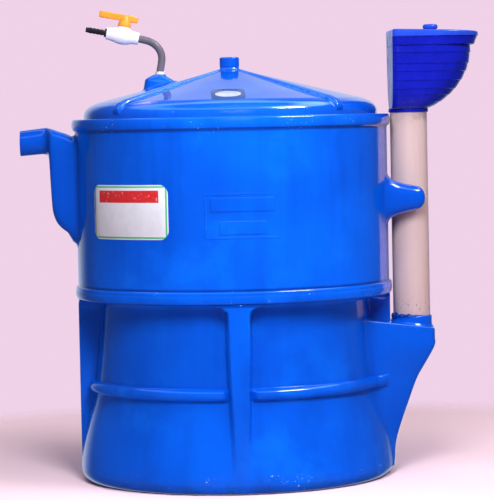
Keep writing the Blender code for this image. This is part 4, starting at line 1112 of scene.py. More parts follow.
def lug_rings(side):
    """Rings of one lug, flared onto the tank's wall and rounded off at its end."""
    sections = [(0.0, half_z, width, 2.6) for half_z, width, _ in LUG_ROOT]
    sections += [(*section, 2.5) for section in smooth_curve(LUG_STATIONS, 3)]
    rings = []
    for x, half_z, width, power in sections:
        ring = side_ring(x, width / 2, half_z, LUG_Z, power, LUG_STEPS)
        ring[:, 1] += side * LUG_ASIDE
        rings.append(ring)
    for ring, (_, _, proud) in zip(rings, LUG_ROOT):
        ring[:, 0] = np.sqrt(WALL_RADIUS ** 2 - ring[:, 1] ** 2) + proud
    return rings


class DIGESTER_OT_inlet(Operator):
    """Build the inlet pocket, its socket, the resin round the pipe's foot and the two lugs beside the pipe"""

    bl_idname = "digester.inlet"
    bl_label = "Inlet pocket and lugs"

    def execute(self, context):
        feed = settings("feed")
        chips = ((0.0, 0.045, 0.02), (0.462, 0.476, 0.012))
        # The pocket and its socket carry a little painted shade: three tenths of the deep blue.
        material = gelcoat_material("blue_gelcoat_inlet", chips, depth=0.30)
        pocket = skinned("pocket_moulding", pocket_rings(settings("tank")), sharp=48.0, material=material)
        settle(pocket, "digester", "body_blue", "inlet_pocket")
        socket = skinned("socket_moulding", socket_rings(feed), wrap=True, sharp=48.0, material=material)
        settle(socket, "digester", "body_blue", "inlet_socket")
        brushed = rough_resin_material()
        resin = skinned("resin_bead", resin_rings(feed), wrap=True, sharp=70.0, material=brushed)
        settle(resin, "digester", "body_blue")
        # The lugs carry strong painted shade: four fifths of the deep blue.
        darker = gelcoat_material("blue_gelcoat_lugs", depth=0.80)
        for name, side in (("front", -1.0), ("back", 1.0)):
            lug = skinned(f"lug_moulding_{name}", lug_rings(side), sharp=60.0, material=darker)
            settle(lug, "digester", "body_blue", f"pipe_lug_{name}")
        return {"FINISHED"}


# Feed pipe, hopper and lid


# Heights of the funnel's foot and of the steps between its terraces
FUNNEL_FOOT = 1.2137
TERRACES = (1.2342, 1.2569, 1.2775, 1.3058, 1.3360, 1.3619, 1.3980)
FUNNEL_WALL = 0.0042
# The hopper's thick lip: (height, reach, half width)
LIP = ((1.4230, 0.2740, 0.1285), (1.4238, 0.2800, 0.1305), (1.4262, 0.2860, 0.1320), (1.4305, 0.2885, 0.1325),
       (1.4370, 0.2900, 0.1327), (1.4440, 0.2930, 0.1330), (1.4480, 0.2950, 0.1332), (1.4502, 0.2957, 0.1332),
       (1.4518, 0.2952, 0.1328), (1.4525, 0.2938, 0.1318))
LIP_CORNER = 0.020
COLLAR_FOOT = 1.2002
LID_FOOT = 1.4528
# Edge and top of the lid: (inset, height over its foot)
LID_EDGE = ((0.0030, 0.0), (0.0008, 0.0004), (0.0, 0.0022), (0.0, 0.0150), (0.0006, 0.0176), (0.0022, 0.0196),
            (0.0050, 0.0208), (0.0100, 0.0212), (0.0500, 0.0216), (0.0950, 0.0218))
KNOB_FOOT = 1.4715
# Outline of the lid's knob: (radius, height over its foot)
KNOB_OUTLINE = ((0.0215, 0.0), (0.0215, 0.0050), (0.0208, 0.0074), (0.0232, 0.0088), (0.0250, 0.0112),
                (0.0254, 0.0150), (0.0248, 0.0190), (0.0230, 0.0220), (0.0200, 0.0237), (0.0120, 0.0244),
                (0.0010, 0.0246))


def drawn_pipe(feed, material):
    """The drain pipe as Geometry Nodes: its wall's section, with rounded ends, carried round a circle."""
    low, high = feed.pocket_top + 0.0267, feed.pipe_top - 0.0002
    g = Geometry("drawn_pipe", radius=feed.pipe_radius, wall=feed.pipe_wall, length=high - low,
                 rounding=0.0012)
    radius, wall, length, rounding = g.sizes
    circle = g.shape("CurvePrimitiveCircle", resolution=128, radius=radius - wall * 0.5)
    upright = g.shape("SetCurveNormal", {"mode": "Z_UP"}, curve=circle)
    section = g.shape("CurvePrimitiveQuadrilateral", {"mode": "RECTANGLE"}, width=wall, height=length)
    rounded = g.shape("FilletCurve", {"mode": "POLY"}, curve=section, count=4, radius=rounding)
    place = Matrix.Translation((feed.pipe_x, 0.0, (low + high) / 2))
    return g.finished("drain_pipe", g.swept(upright, rounded, caps=False), material, turned=place)


def mouth_outline(flat_x, reach, half, corner):
    """Plan outline of the hopper: flat with rounded corners toward the tank, half an oval outside."""
    nose = min(half, reach * 0.52)
    corner = min(corner, half * 0.6)
    turns = np.radians(np.linspace(-90, 90, 57)[1:-1])
    across = np.linspace(half - corner, -half + corner, 8)[1:-1]
    return np.vstack([arc_points((flat_x + corner, -half + corner), corner, 180, 270, 8),
                      np.column_stack([flat_x + reach - nose + nose * np.cos(turns), half * np.sin(turns)]),
                      arc_points((flat_x + corner, half - corner), corner, 90, 180, 8),
                      np.column_stack([np.full(len(across), flat_x), across])])


def funnel_ring(z, feed, inset=0.0):
    """Plan ring of the funnel at a height, moved inward by inset; a negative one spares its flat side."""
    share = min(1.0, max(0.0, (z - FUNNEL_FOOT) / (feed.funnel_top - FUNNEL_FOOT)))
    low = feed.pipe_x + feed.pipe_radius - feed.flat_x
    reach = low + (feed.reach - 0.012 - low) * (1.0 - (1.0 - share) ** 2.2) ** 0.75
    half = 0.066 + (feed.half - 0.066) * math.sqrt(1.0 - (1.0 - share) ** 2)
    flat_inset = max(inset, 0.0)
    depth = reach - inset - flat_inset
    return at_height(mouth_outline(feed.flat_x + flat_inset, depth, half - inset, 0.018 - inset * 0.5), z)


def terrace_offset(z, feed):
    """How far the funnel stands out of its smooth form: most above a step, and not at all below the next."""
    edges = (FUNNEL_FOOT, *TERRACES, feed.funnel_top)
    for low, high in zip(edges, edges[1:]):
        if low <= z < high:
            return feed.step * 0.85 * (1.0 - (z - low) / (high - low))
    return 0.0


def funnel_levels(feed):
    """Heights up the funnel, close together at each terrace's step."""
    edges = [FUNNEL_FOOT + 0.0002, *TERRACES, feed.funnel_top - 0.004]
    levels = []
    for low, high in zip(edges, edges[1:]):
        start = low + (0.0010 if levels else 0.0)
        levels += [start + (high - 0.0010 - start) * share for share in (0.0, 0.06, 0.35, 0.7, 0.94, 1.0)]
    return levels


def hopper_rings(feed):
    """Rings of the hopper: terraced funnel, thick lip, and the plain inside back to the funnel's foot."""
    rings = [funnel_ring(z, feed, inset=-terrace_offset(z, feed)) for z in funnel_levels(feed)]
    rings.append(funnel_ring(feed.funnel_top - 0.004, feed, inset=0.0018))
    rings += [at_height(mouth_outline(feed.flat_x, reach, half, LIP_CORNER), z) for z, reach, half in LIP]
    mouth = funnel_ring(feed.funnel_top, feed, inset=FUNNEL_WALL)[:, :2]
    rings += [at_height(mouth, z) for z in (feed.lip_top - 0.0003, feed.lip_top - 0.0025, feed.funnel_top)]
    inside = np.linspace(feed.funnel_top - 0.006, FUNNEL_FOOT + 0.0008, 14)
    return rings + [funnel_ring(z, feed, inset=FUNNEL_WALL) for z in inside]


def collar_rings(feed):
    """Rings of the short collar that sits on the drain pipe, its edges rounded."""
    outer, inner = feed.pipe_radius + 0.0045, feed.pipe_radius - feed.pipe_wall
    outline = [(inner, COLLAR_FOOT), (outer - 0.0016, COLLAR_FOOT), (outer - 0.0004, 1.2010), (outer, 1.2030),
               (outer, 1.2115), (outer - 0.0012, FUNNEL_FOOT), (inner, FUNNEL_FOOT)]
    return turned_rings(outline, 128, feed.pipe_x)


def lid_rings(feed):
    """Rings of the lid, a thin plate with rounded edges that is slightly higher toward the tank."""
    reach, half = feed.reach + 0.016, feed.half + 0.010
    rings = []
    for inset, up in LID_EDGE:
        corner = max(0.006, LIP_CORNER - inset)
        outline = mouth_outline(feed.flat_x + inset, reach - 2 * inset, half - inset, corner)
        tilt = (0.0045 - 0.0095 * (outline[:, 0] - feed.flat_x) / reach) * float(ramp(up, 0.004, 0.016))
        rings.append(at_height(outline, LID_FOOT + up + tilt))
    return rings


class DIGESTER_OT_feed(Operator):
    """Build the drain pipe and the terraced feed hopper with its lid"""

    bl_idname = "digester.feed"
    bl_label = "Feed pipe and hopper"

    def execute(self, context):
        feed, finish = settings("feed"), settings("finish")
        settle(drawn_pipe(feed, drain_pipe_material()), "digester", "pvc_cream", "feed_pipe")
        deep = tuple(value * 0.6 for value in finish.hopper)
        ultramarine = moulded_material("ultramarine_hopper", finish.hopper, deep, 0.26, coat=0.08,
                                       specular=0.25)
        funnel = skinned("hopper_moulding", hopper_rings(feed), wrap=True, sharp=28.0, material=ultramarine)
        settle(funnel, "digester", "hopper_blue", "hopper_body", "hopper_rim")
        collar = skinned("collar_moulding", collar_rings(feed), wrap=True, material=ultramarine)
        settle(collar, "digester", "hopper_blue", "hopper_collar")
        deep = tuple(value * 0.7 for value in finish.lid)
        paler = moulded_material("pale_blue_lid", finish.lid, deep, 0.3, coat=0.25)
        lid = skinned("lid_moulding", lid_rings(feed), sharp=40.0, material=paler)
        settle(lid, "hopper_lid", "hopper_blue", "lid_plate")
        knob = turned_rings([(radius, KNOB_FOOT + up) for radius, up in KNOB_OUTLINE], 72, feed.knob_x)
        knob = skinned("knob_moulding", knob, sharp=50.0, material=paler)
        settle(knob, "hopper_lid", "hopper_blue", "lid_knob")
        return {"FINISHED"}


# Gas fittings


# The boss on the dome: (height, left x, right x, half width)
BOSS_STATIONS = ((1.2620, -0.3000, -0.1200, 0.066), (1.2940, -0.2920, -0.1400, 0.060),
                 (1.3165, -0.2875, -0.1760, 0.053), (1.3290, -0.2840, -0.1960, 0.046),
                 (1.3380, -0.2700, -0.2110, 0.033), (1.3445, -0.2560, -0.2150, 0.0205))
BOSS_CURVE = smooth_curve(BOSS_STATIONS, 8)
# The boss's foot flared onto the dome: (distance out of it, height over the dome)
BOSS_FOOT = ((0.0120, -0.0005), (0.0070, 0.0004), (0.0032, 0.0018), (0.0010, 0.0034))
BOSS_CLEAR = 0.0052
# The gas pipe's bend: (x, z)
GAS_PIPE_BENDS = ((-0.2335, 1.3500), (-0.2335, 1.3560), (-0.2290, 1.3800), (-0.2270, 1.4020),
                  (-0.2320, 1.4230), (-0.2470, 1.4430), (-0.2690, 1.4565), (-0.3030, 1.4657),
                  (-0.3080, 1.4667))
VALVE_START = Vector((-0.303, 0.0, 1.4657))
# The valve's inner end, its smooth body and its outer end: (distance along, radius)
VALVE_HEAD = ((0.0000, 0.0004), (0.0000, 0.0095), (0.0000, 0.0188), (0.0012, 0.0200), (0.0030, 0.0208))
VALVE_BODY = ((0.0130, 0.0210), (0.0240, 0.0224), (0.0360, 0.0262), (0.0470, 0.0287), (0.0620, 0.0288),
              (0.0750, 0.0266), (0.0890, 0.0230), (0.1000, 0.0211))
VALVE_TAIL = ((0.1070, 0.0208), (0.1090, 0.0202), (0.1100, 0.0190), (0.1100, 0.0095), (0.1100, 0.0004))
# The lever's round hub: (height, radius)
LEVER_HUB = ((0.0000, 0.0004), (0.0000, 0.0210), (0.0008, 0.0222), (0.0050, 0.0226), (0.0140, 0.0200),
             (0.0260, 0.0150), (0.0355, 0.0112), (0.0378, 0.0090), (0.0384, 0.0060), (0.0385, 0.0004))
# Its bar: (distance along, half width, low, high)
LEVER_BAR = ((0.0428, 0.0040, 0.0212, 0.0362), (0.0420, 0.0056, 0.0200, 0.0376),
             (0.0380, 0.0078, 0.0182, 0.0392), (0.0100, 0.0085, 0.0180, 0.0400),
             (-0.0300, 0.0085, 0.0180, 0.0402), (-0.0840, 0.0080, 0.0182, 0.0405),
             (-0.0882, 0.0062, 0.0194, 0.0394), (-0.0890, 0.0046, 0.0206, 0.0382))
SEAT_GAP = 0.0003


def valve_axes(gas):
    """Directions along the valve and up its stem."""
    tilt = gas.tilt
    return Vector((-math.cos(tilt), 0.0, math.sin(tilt))), Vector((math.sin(tilt), 0.0, math.cos(tilt)))


def boss_point(turn, share):
    """A point of the boss's skin at an angle round it and a share of the way up."""
    z, left, right, half = (np.interp(share, np.linspace(0, 1, len(BOSS_CURVE)), row) for row in BOSS_CURVE.T)
    size = squared(turn, 3.6 - 1.0 * share)
    return (left + right) / 2 + (right - left) / 2 * size * math.cos(turn), half * size * math.sin(turn), z


def boss_rings(holder):
    """Rings of the boss, its foot flared onto the dome's cone."""
    columns = []
    shares = np.linspace(0.0, 1.0, 160)
    for turn in full_turn(88):
        skin = np.array([boss_point(turn, share) for share in shares])
        clear = skin[:, 2] - cone_z(np.hypot(skin[:, 0], skin[:, 1]), holder)
        start, foot = int(np.argmax(clear > BOSS_CLEAR)), int(np.argmax(clear > 0.0))
        column = []
        for away, up in BOSS_FOOT:
            x, y = skin[foot, :2] + np.array([math.cos(turn), math.sin(turn)]) * away
            column.append((x, y, cone_z(math.hypot(x, y), holder) + up))
        column += [boss_point(turn, share) for share in np.linspace(shares[start], 1.0, 14)]
        columns.append(column)
    return np.array(columns).transpose(1, 0, 2)


def thread_tape(gas):
    """Thread tape wound round the gas pipe's foot, as a swept spiral on a short core."""
    g = Geometry("wound_tape", core_radius=0.0143, winding_radius=0.0152, height=0.0092, turns=gas.tape_turns)
    core_radius, winding_radius, height, turns = g.sizes
    core = g.raised(g.shape("MeshCylinder", vertices=48, radius=core_radius, depth=height), height * 0.5)
    spiral = g.shape("CurveSpiral", resolution=40, rotations=turns, height=height,
                     start_radius=winding_radius, end_radius=winding_radius)
    winding = g.swept(spiral, g.shape("CurvePrimitiveCircle", resolution=10, radius=0.0012))
    place = Matrix.Translation((-gas.boss_x, 0.0, gas.boss_top + SEAT_GAP))
    return g.finished("thread_tape_wound", g.join(core, winding), tape_material(), turned=place)


def bent_pipe(gas, material):
    """The grey gas pipe swept along its bend."""
    g = Geometry("pipe_along_bend", radius=gas.pipe_radius, sides=40)
    radius, sides = g.sizes
    curve = g.shape("MeshToCurve", mesh=g.path)
    circle = g.shape("CurvePrimitiveCircle", resolution=sides, radius=radius)
    path = smooth_curve([(x, 0.0, z) for x, z in GAS_PIPE_BENDS], 8)
    return g.finished("bent_gas_pipe", g.swept(curve, circle), material, path=path)


def barbed_nozzle(gas, material):
    """The hose nozzle: a row of cone-shaped barbs on a tube with a flange, all along one line."""
    flange_depth = 0.012
    g = Geometry("barbs_in_a_row", barbs=gas.barbs, pitch=gas.barb_pitch, barb_radius=gas.barb_radius,
                 root_radius=0.0085)
    barbs, pitch, barb_radius, root_radius = g.sizes
    length = pitch * barbs
    line = g.shape("MeshLine", count=barbs, offset=g.upward(pitch))
    barb = g.shape("MeshCone", vertices=40, radius_top=root_radius, radius_bottom=barb_radius, depth=pitch)
    row = g.shape("InstanceOnPoints", points=line, instance=barb)
    core = g.shape("MeshCylinder", vertices=40, radius=0.0084, depth=length + flange_depth)
    flange = g.shape("MeshCylinder", vertices=6, radius=0.0158, depth=0.0066)
    shape = g.join(row, g.raised(core, length * 0.5), g.raised(flange, -0.0087))
    along, _ = valve_axes(gas)
    start = VALVE_START + along * (gas.valve_length + SEAT_GAP + flange_depth)
    turned = Matrix.Translation(start) @ along.to_track_quat("Z", "Y").to_matrix().to_4x4()
    return g.finished("barbed_hose_nozzle", shape, material, turned=turned)


def valve_shapes(gas):
    """The ball valve's turned body and the neck under its lever."""
    along, up = valve_axes(gas)
    outline = [*VALVE_HEAD, *smooth_curve(VALVE_BODY, 4), *VALVE_TAIL]
    hub = VALVE_START + along * gas.stem_along
    r, top = gas.neck_radius, gas.neck_top
    neck = [(0.0120, 0.0004), (0.0120, r + 0.0012), (0.0235, r + 0.0012), (0.0262, r + 0.0002), (0.0272, r),
            (top - 0.0010, r), (top - 0.0002, r - 0.0010), (top - 0.0002, 0.0004)]
    return [axis_rings(VALVE_START, along, outline, 72), axis_rings(hub, up, neck, 72)]


def lever_shapes(gas):
    """The lever's round hub and its flat bar with rolled edges."""
    along, up = valve_axes(gas)
    foot = VALVE_START + along * gas.stem_along + up * (gas.neck_top + SEAT_GAP)
    bar = []
    for x, half, low, high in LEVER_BAR:
        section = oval(half, (high - low) / 2, 5.0, 32)
        middle = np.array(foot - along * x + up * ((low + high) / 2))
        bar.append(middle + np.outer(section[:, 0], (0.0, 1.0, 0.0)) + np.outer(section[:, 1], up))
    return [axis_rings(foot, up, LEVER_HUB, 64), bar]


class DIGESTER_OT_gas(Operator):
    """Build the gas boss, the taped thread, the bent pipe, the ball valve, its lever and the hose nozzle"""

    bl_idname = "digester.gas"
    bl_label = "Gas fittings"

    def execute(self, context):
        gas, finish = settings("gas"), settings("finish")
        blue = gelcoat_material("blue_gelcoat_boss", gloss=0.4)
        boss = skinned("boss_moulding", boss_rings(settings("holder")), sharp=60.0, material=blue)
        settle(boss, "gas_holder", "body_blue", "gas_boss")
        settle(thread_tape(gas), "gas_holder", "thread_white", "thread_collar")
        grey = moulded_material("weathered_grey_pipe", finish.gas_pipe, (0.085, 0.07, 0.075), 0.34)
        settle(bent_pipe(gas, grey), "gas_holder", "pipe_grey", "gas_pipe")
        white = moulded_material("white_valve", finish.valve, (0.72, 0.70, 0.74), 0.3, coat=0.2)
        valve = skinned("valve_moulding", *valve_shapes(gas), material=white)
        settle(valve, "gas_holder", "valve_white", "valve_body")
        black = moulded_material("black_nozzle", finish.nozzle, (0.02, 0.016, 0.016), 0.35)
        settle(barbed_nozzle(gas, black), "gas_holder", "nozzle_black", "hose_nozzle")
        orange = moulded_material("orange_lever", finish.lever, (0.80, 0.20, 0.012), 0.34, coat=0.2)
        lever = skinned("lever_moulding", *lever_shapes(gas), sharp=42.0, material=orange)
        settle(lever, "valve_lever", "handle_orange", "valve_handle")
        return {"FINISHED"}


# Label, plate and dome badge


class MarkSizes(PropertyGroup):
    """Places and sizes of the plain label and plates on the tank and the dome"""

    label_from: angle("Label start", -60.5, "Left edge of the label, as an angle from the front")
    label_to: angle("Label end", -24.5, "Right edge of the label, as an angle from the front")
    label_low: length("Label bottom", 0.8080, "Height of the label's lower edge")
    label_high: length("Label top", 0.9840, "Height of the label's upper edge")
    plate_from: angle("Plate start", -11.4, "Left edge of the raised plate, as an angle from the front")
    plate_to: angle("Plate end", 15.4, "Right edge of the raised plate, as an angle from the front")
    plate_low: length("Plate bottom", 0.8080, "Height of the raised plate's lower edge")
    plate_high: length("Plate top", 0.9560, "Height of the raised plate's upper edge")


SETTINGS["digester_marks"] = MarkSizes

# Bare raised bars on the plate: start and end in degrees from the front, lower and upper edge
PLATE_BARS = ((-9.3, 13.3, 0.8950, 0.9410), (-6.2, 10.2, 0.8220, 0.8660))
# Sections of the label, the plate, its bars and the badge: (inset from the edge, height over the surface)
LABEL_SECTION = ((0.0, -0.0005), (0.0, 0.0005), (0.0004, 0.0007))
PLATE_SECTION = ((0.0, -0.0006), (0.0004, 0.0006), (0.0016, 0.0011), (0.0060, 0.0011), (0.0068, 0.0006),
                 (0.0095, 0.0004))
BAR_SECTION = ((0.0, 0.0003), (0.0007, 0.0020), (0.0018, 0.0028), (0.0036, 0.0030))
BADGE_SECTION = ((0.0, -0.0004), (0.0, 0.0007), (0.0008, 0.0010))
# Middle of the badge in plan, half of its size, and half of the size of its pale oval
BADGE_CENTRE = (-0.016, -0.376)
BADGE_HALF = (0.055, 0.066)
BADGE_OVAL = (0.043, 0.040)


def plate_half(half, tall, bend, along):
    """Lower edge of a rounded plate from left to right: (distance along, height from the middle)."""
    left = [tuple(point) for point in arc_points((-half + bend, -tall + bend), bend, 180, 270, 8)]
    middle = [(x, -tall) for x in np.linspace(-half + bend, half - bend, along)[1:-1]]
    return left + middle + [(-x, z) for x, z in reversed(left)]


def curved_plate(name, place, corner, section, material):
    """A thin plate with rounded corners bent round the wall; its place is (start, end, low, high)."""
    start, end, low, high = place
    middle, half = (start + end) / 2 * WALL_RADIUS, (end - start) / 2 * WALL_RADIUS
    tall, centre_z = (high - low) / 2, (high + low) / 2
    points = []
    for inset, proud in section:
        edge = plate_half(half - inset, tall - inset, max(corner - inset, 0.0005), 40)
        out = WALL_RADIUS + proud
        for along, up in edge + [(x, -z) for x, z in reversed(edge)]:
            turn = (middle + along) / WALL_RADIUS - math.pi / 2
            points.append((out * math.cos(turn), out * math.sin(turn), centre_z + up))
    around = 2 * len(edge)
    faces = ring_faces(len(section), around, caps=False)
    first = (len(section) - 1) * around
    for k in range(len(edge) - 1):
        faces.append([first + k, first + k + 1, first + around - 2 - k, first + around - 1 - k])
        faces.append([around - 1 - k, around - 2 - k, k + 1, k])
    return mesh_object(name, points, faces, 30.0, material)


def label_material(marks):
    """Bare printed label: white, a thin green border and a plain red bar, yellowed and scuffed by weather."""
    s = Shader("plain_label", (0.80, 0.80, 0.82), 0.42, specular=0.4)
    x, y, z = s.split(s.place)
    turn = x.calculate("ARCTAN2", x, y * -1.0)
    low, high = marks.label_low + LIFT, marks.label_high + LIFT
    wide, tall = (marks.label_to - marks.label_from) / 2 * WALL_RADIUS, (high - low) / 2
    across = (turn - (marks.label_from + marks.label_to) / 2).absolute() * WALL_RADIUS
    up = (z - (low + high) / 2).absolute()

    def near_edge(side_inset, end_inset):
        """1 closer to the label's edge than these distances, 0 further in."""
        beside = across.step(wide - side_inset, wide - side_inset + 0.001)
        return beside.maximum(up.step(tall - end_inset, tall - end_inset + 0.001))

    border = near_edge(0.0105, 0.0095) * (1.0 - near_edge(0.0040, 0.0040))
    paper = s.mix(s.noise(30.0, 4.0, 0.6).step(0.4, 0.75) * 0.4, (0.62, 0.63, 0.68), (0.50, 0.53, 0.60))
    bar = z.step(high - 0.058, high - 0.0565) * (1.0 - z.step(high - 0.0185, high - 0.017))
    bar = bar * (1.0 - across.step(wide - 0.034, wide - 0.033))
    worn = s.noise(90.0, 4.0, 0.65).step(0.60, 0.68)
    tone = s.mix(bar * (1.0 - worn * 0.6), paper, (0.52, 0.020, 0.022))
    tone = s.mix(border, tone, (0.06, 0.40, 0.16))
    specks = s.noise(210.0, 3.0, 0.6).step(0.68, 0.74)
    s.colour(s.mix(specks * 0.5, tone, (0.28, 0.32, 0.40)))
    s.roughness(s.noise(40.0, 4.0, 0.6).step(0.3, 0.75) * 0.2 + 0.32)
    s.normal(s.bump(s.noise(22.0, 3.0, 0.55), 0.0010, 0.5))
    return s.material


def badge_rings(holder):
    """Rings of a small badge lying on the front of the dome's cone."""
    rings = []
    for inset, proud in BADGE_SECTION:
        outline = oval(BADGE_HALF[0] - inset, BADGE_HALF[1] - inset, 7.0, 72) + BADGE_CENTRE
        rings.append(at_height(outline, cone_z(np.hypot(outline[:, 0], outline[:, 1]), holder) + proud))
    return rings


def badge_material():
    """Dark printed badge with a bare pale oval."""
    s = Shader("plain_badge", (0.02, 0.05, 0.16), 0.3, coat=0.2)
    x, y, _ = s.split(s.place)
    wide = (x - BADGE_CENTRE[0]) * (1.0 / BADGE_OVAL[0])
    tall = (y - BADGE_CENTRE[1]) * (1.0 / BADGE_OVAL[1])
    inside = 1.0 - (wide * wide + tall * tall).step(0.92, 1.0)
    dark = s.mix(s.noise(60.0, 4.0, 0.6), (0.012, 0.035, 0.15), (0.03, 0.08, 0.28))
    pale = s.mix(s.noise(80.0, 4.0, 0.6).step(0.4, 0.7), (0.50, 0.52, 0.60), (0.34, 0.38, 0.52))
    s.colour(s.mix(inside, dark, pale))
    s.roughness(s.noise(50.0, 3.0) * 0.2 + 0.22)
    s.normal(s.bump(s.noise(35.0, 3.0, 0.5), 0.0006, 0.4))
    return s.material


class DIGESTER_OT_marks(Operator):
    """Add the plain label, the bare raised plate and the small badge on the dome"""

    bl_idname = "digester.marks"
    bl_label = "Label and plates"

    def execute(self, context):
        marks = settings("marks")
        place = (marks.label_from, marks.label_to, marks.label_low, marks.label_high)
        label = curved_plate("plain_label", place, 0.030, LABEL_SECTION, label_material(marks))
        settle(label, "digester", "body_blue")
        blue = gelcoat_material("blue_gelcoat_plate")
        place = (marks.plate_from, marks.plate_to, marks.plate_low, marks.plate_high)
        settle(curved_plate("raised_plate", place, 0.006, PLATE_SECTION, blue), "digester", "body_blue")
        for row, (start, end, low, high) in enumerate(PLATE_BARS):
            place = (math.radians(start), math.radians(end), low, high)
            bar = curved_plate(f"raised_bar_{row + 1}", place, 0.007, BAR_SECTION, blue)
            settle(bar, "digester", "body_blue")
        badge = skinned("dome_badge", badge_rings(settings("holder")), sharp=40.0, material=badge_material())
        settle(badge, "gas_holder", "body_blue")
        return {"FINISHED"}


# Stage


CAMERA_DISTANCE = 8.6
CAMERA_HEIGHT = 1.192
CAMERA_SIDE = math.radians(-1.5)
CAMERA_ROLL = math.radians(-1.2)
SENSOR_WIDTH = 36.0
FOCAL_PIXELS = 2547.0
FRAME_SIZE = (494, 500)
HORIZON_POINT = (230.6, 122.0)
FLOOR_RADIUS = 2.4
FLOOR_STEPS = 128
# Colour that the camera and the diffuse light see all round
LILAC = (0.87, 0.64, 0.81)
# Lamps: name, place, target, size, power, colour, and whether they show in reflections
LAMPS = (("key_light", (4.0, -2.8, 6.0), (0.0, 0.0, 0.8), (2.6, 1.2), 265.0, (1.0, 0.96, 0.98), True),
         ("top_light", (0.1, -1.4, 4.6), (0.0, 0.0, 1.0), (2.0, 2.0), 66.0, (1.0, 0.97, 0.99), False),
         ("front_light", (0.12, -2.3, 2.0), (0.0, 0.0, 0.6), (0.7, 0.9), 72.0, (0.94, 0.97, 1.0), False),
         ("back_light", (-2.4, 4.2, 3.6), (0.0, 0.0, 0.7), (2.0, 2.0), 90.0, (1.0, 0.97, 0.99), False))


def floor_material():
    """A plain pale floor that fades out round its edge."""
    s = Shader("studio_floor", (0.90, 0.68, 0.72), 0.85, specular=0.15)
    x, y, _ = s.split(s.place)
    away = x.calculate("SQRT", x * x + y * y)
    s.colour(s.mix(s.noise(3.0, 3.0, 0.5) * 0.3, (0.93, 0.70, 0.74), (0.86, 0.66, 0.69)))
    s.feed(s.surface.inputs["Alpha"], 1.0 - away.step(1.75, 2.35))
    return s.material


def studio_floor():
    """A round floor under the digester."""
    mesh = bpy.data.meshes.new("studio_floor")
    points = at_height(circle_outline(0.0, FLOOR_RADIUS, FLOOR_STEPS), 0.0)
    mesh.from_pydata(points.tolist(), [], [list(range(FLOOR_STEPS))])
    mesh.materials.append(floor_material())
    floor = bpy.data.objects.new("studio_floor", mesh)
    bpy.context.scene.collection.objects.link(floor)
    floor.location.z = -0.0008
    floor.visible_glossy = False


def backdrop():
    """A pale lilac surrounding that lights the digester only faintly.

    Its reflections show a pale wall behind the digester and a soft strip overhead."""
    world = bpy.data.worlds.new("studio")
    bpy.context.scene.world = world
    world.use_nodes = True
    w = Nodes(world.node_tree)
    background = w.tree.nodes["Background"]
    x, y, z = w.split(Value(w, w.make("ShaderNodeTexCoord").outputs["Generated"]))
    rays = w.make("ShaderNodeLightPath").outputs
    seen, lit, mirrored = (Value(w, rays[f"Is {kind} Ray"]) for kind in ("Camera", "Diffuse", "Glossy"))
    wall = y.step(0.72, 0.97)
    strip = (1.0 - (z - 0.80).absolute().step(0.04, 0.12)) * (x.step(0.20, 0.45) * 0.65 + 0.35) * mirrored
    w.feed(background.inputs["Strength"], (wall * 0.78 + 0.17).maximum(seen) + strip * 5.0)
    reflected = w.mix(wall, (0.36, 0.60, 0.92), (0.62, 0.70, 0.90))
    w.feed(background.inputs["Color"], w.mix(seen.maximum(lit), reflected, LILAC))


def light(name, place, target, size, power, tint, glossy):
    """A soft rectangular lamp; without glossy it leaves no highlight of its own."""
    lamp = bpy.data.lights.new(name, "AREA")
    lamp.shape = "RECTANGLE"
    lamp.size, lamp.size_y = size
    lamp.energy = power
    lamp.color = tint
    made = bpy.data.objects.new(name, lamp)
    made.location = place
    made.rotation_euler = (Vector(place) - Vector(target)).to_track_quat("Z", "Y").to_euler()
    made.visible_camera = False
    made.visible_glossy = glossy
    bpy.context.scene.collection.objects.link(made)


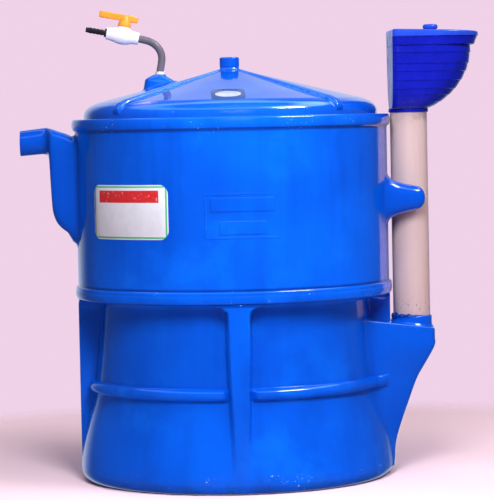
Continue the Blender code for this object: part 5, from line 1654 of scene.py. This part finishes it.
def photo_camera():
    """The camera at the photograph's viewing angle: level with the rim and slightly rolled."""
    data = bpy.data.cameras.new("photo_camera")
    data.sensor_width = SENSOR_WIDTH
    data.lens = FOCAL_PIXELS / max(FRAME_SIZE) * SENSOR_WIDTH
    data.clip_end = 200.0
    camera = bpy.data.objects.new("photo_camera", data)
    bpy.context.scene.collection.objects.link(camera)
    place = Vector((math.sin(CAMERA_SIDE), -math.cos(CAMERA_SIDE), 0.0)) * CAMERA_DISTANCE
    level = place.to_track_quat("Z", "Y").to_matrix()
    place.z = CAMERA_HEIGHT
    roll = Matrix.Rotation(CAMERA_ROLL, 3, "Z")
    pitch = Matrix.Rotation(-math.atan((FRAME_SIZE[1] / 2 - HORIZON_POINT[1]) / FOCAL_PIXELS), 3, "X")
    yaw = Matrix.Rotation(-math.atan((FRAME_SIZE[0] / 2 - HORIZON_POINT[0]) / FOCAL_PIXELS), 3, "Y")
    camera.matrix_world = Matrix.Translation(place) @ (level @ roll @ yaw @ pitch).to_4x4()
    bpy.context.scene.camera = camera


class DIGESTER_OT_stage(Operator):
    """Set the floor, the light and the camera"""

    bl_idname = "digester.stage"
    bl_label = "Stage"

    def execute(self, context):
        context.scene.view_settings.view_transform = "Standard"
        studio_floor()
        backdrop()
        for lamp in LAMPS:
            light(*lamp)
        photo_camera()
        return {"FINISHED"}


# Panel and registration


OPERATORS = (DIGESTER_OT_tank, DIGESTER_OT_holder, DIGESTER_OT_outlet, DIGESTER_OT_inlet, DIGESTER_OT_feed,
             DIGESTER_OT_gas, DIGESTER_OT_marks, DIGESTER_OT_stage)


class DIGESTER_PT_panel(Panel):
    """Lists the pieces of the digester and their sizes"""

    bl_label = "Digester"
    bl_idname = "DIGESTER_PT_panel"
    bl_space_type = "VIEW_3D"
    bl_region_type = "UI"
    bl_category = "Digester"

    def draw(self, context):
        for operator in OPERATORS:
            self.layout.operator(operator.bl_idname)
        for name in SETTINGS:
            box = self.layout.box()
            box.label(text=name.replace("digester_", "").capitalize())
            for key in getattr(context.scene, name).__annotations__:
                box.prop(getattr(context.scene, name), key)


CLASSES = (*SETTINGS.values(), *OPERATORS, DIGESTER_PT_panel)


def register():
    """Registers the sizes, the operators and the panel."""
    for cls in CLASSES:
        bpy.utils.register_class(cls)
    for name, group in SETTINGS.items():
        setattr(bpy.types.Scene, name, PointerProperty(type=group))


def unregister():
    """Takes the classes out again."""
    for name in SETTINGS:
        delattr(bpy.types.Scene, name)
    for cls in reversed(CLASSES):
        bpy.utils.unregister_class(cls)


def main():
    """Builds the whole digester."""
    register()
    bpy.ops.digester.tank()
    bpy.ops.digester.holder()
    bpy.ops.digester.outlet()
    bpy.ops.digester.inlet()
    bpy.ops.digester.feed()
    bpy.ops.digester.gas()
    bpy.ops.digester.marks()
    bpy.ops.digester.stage()


if __name__ == "__main__":
    main()
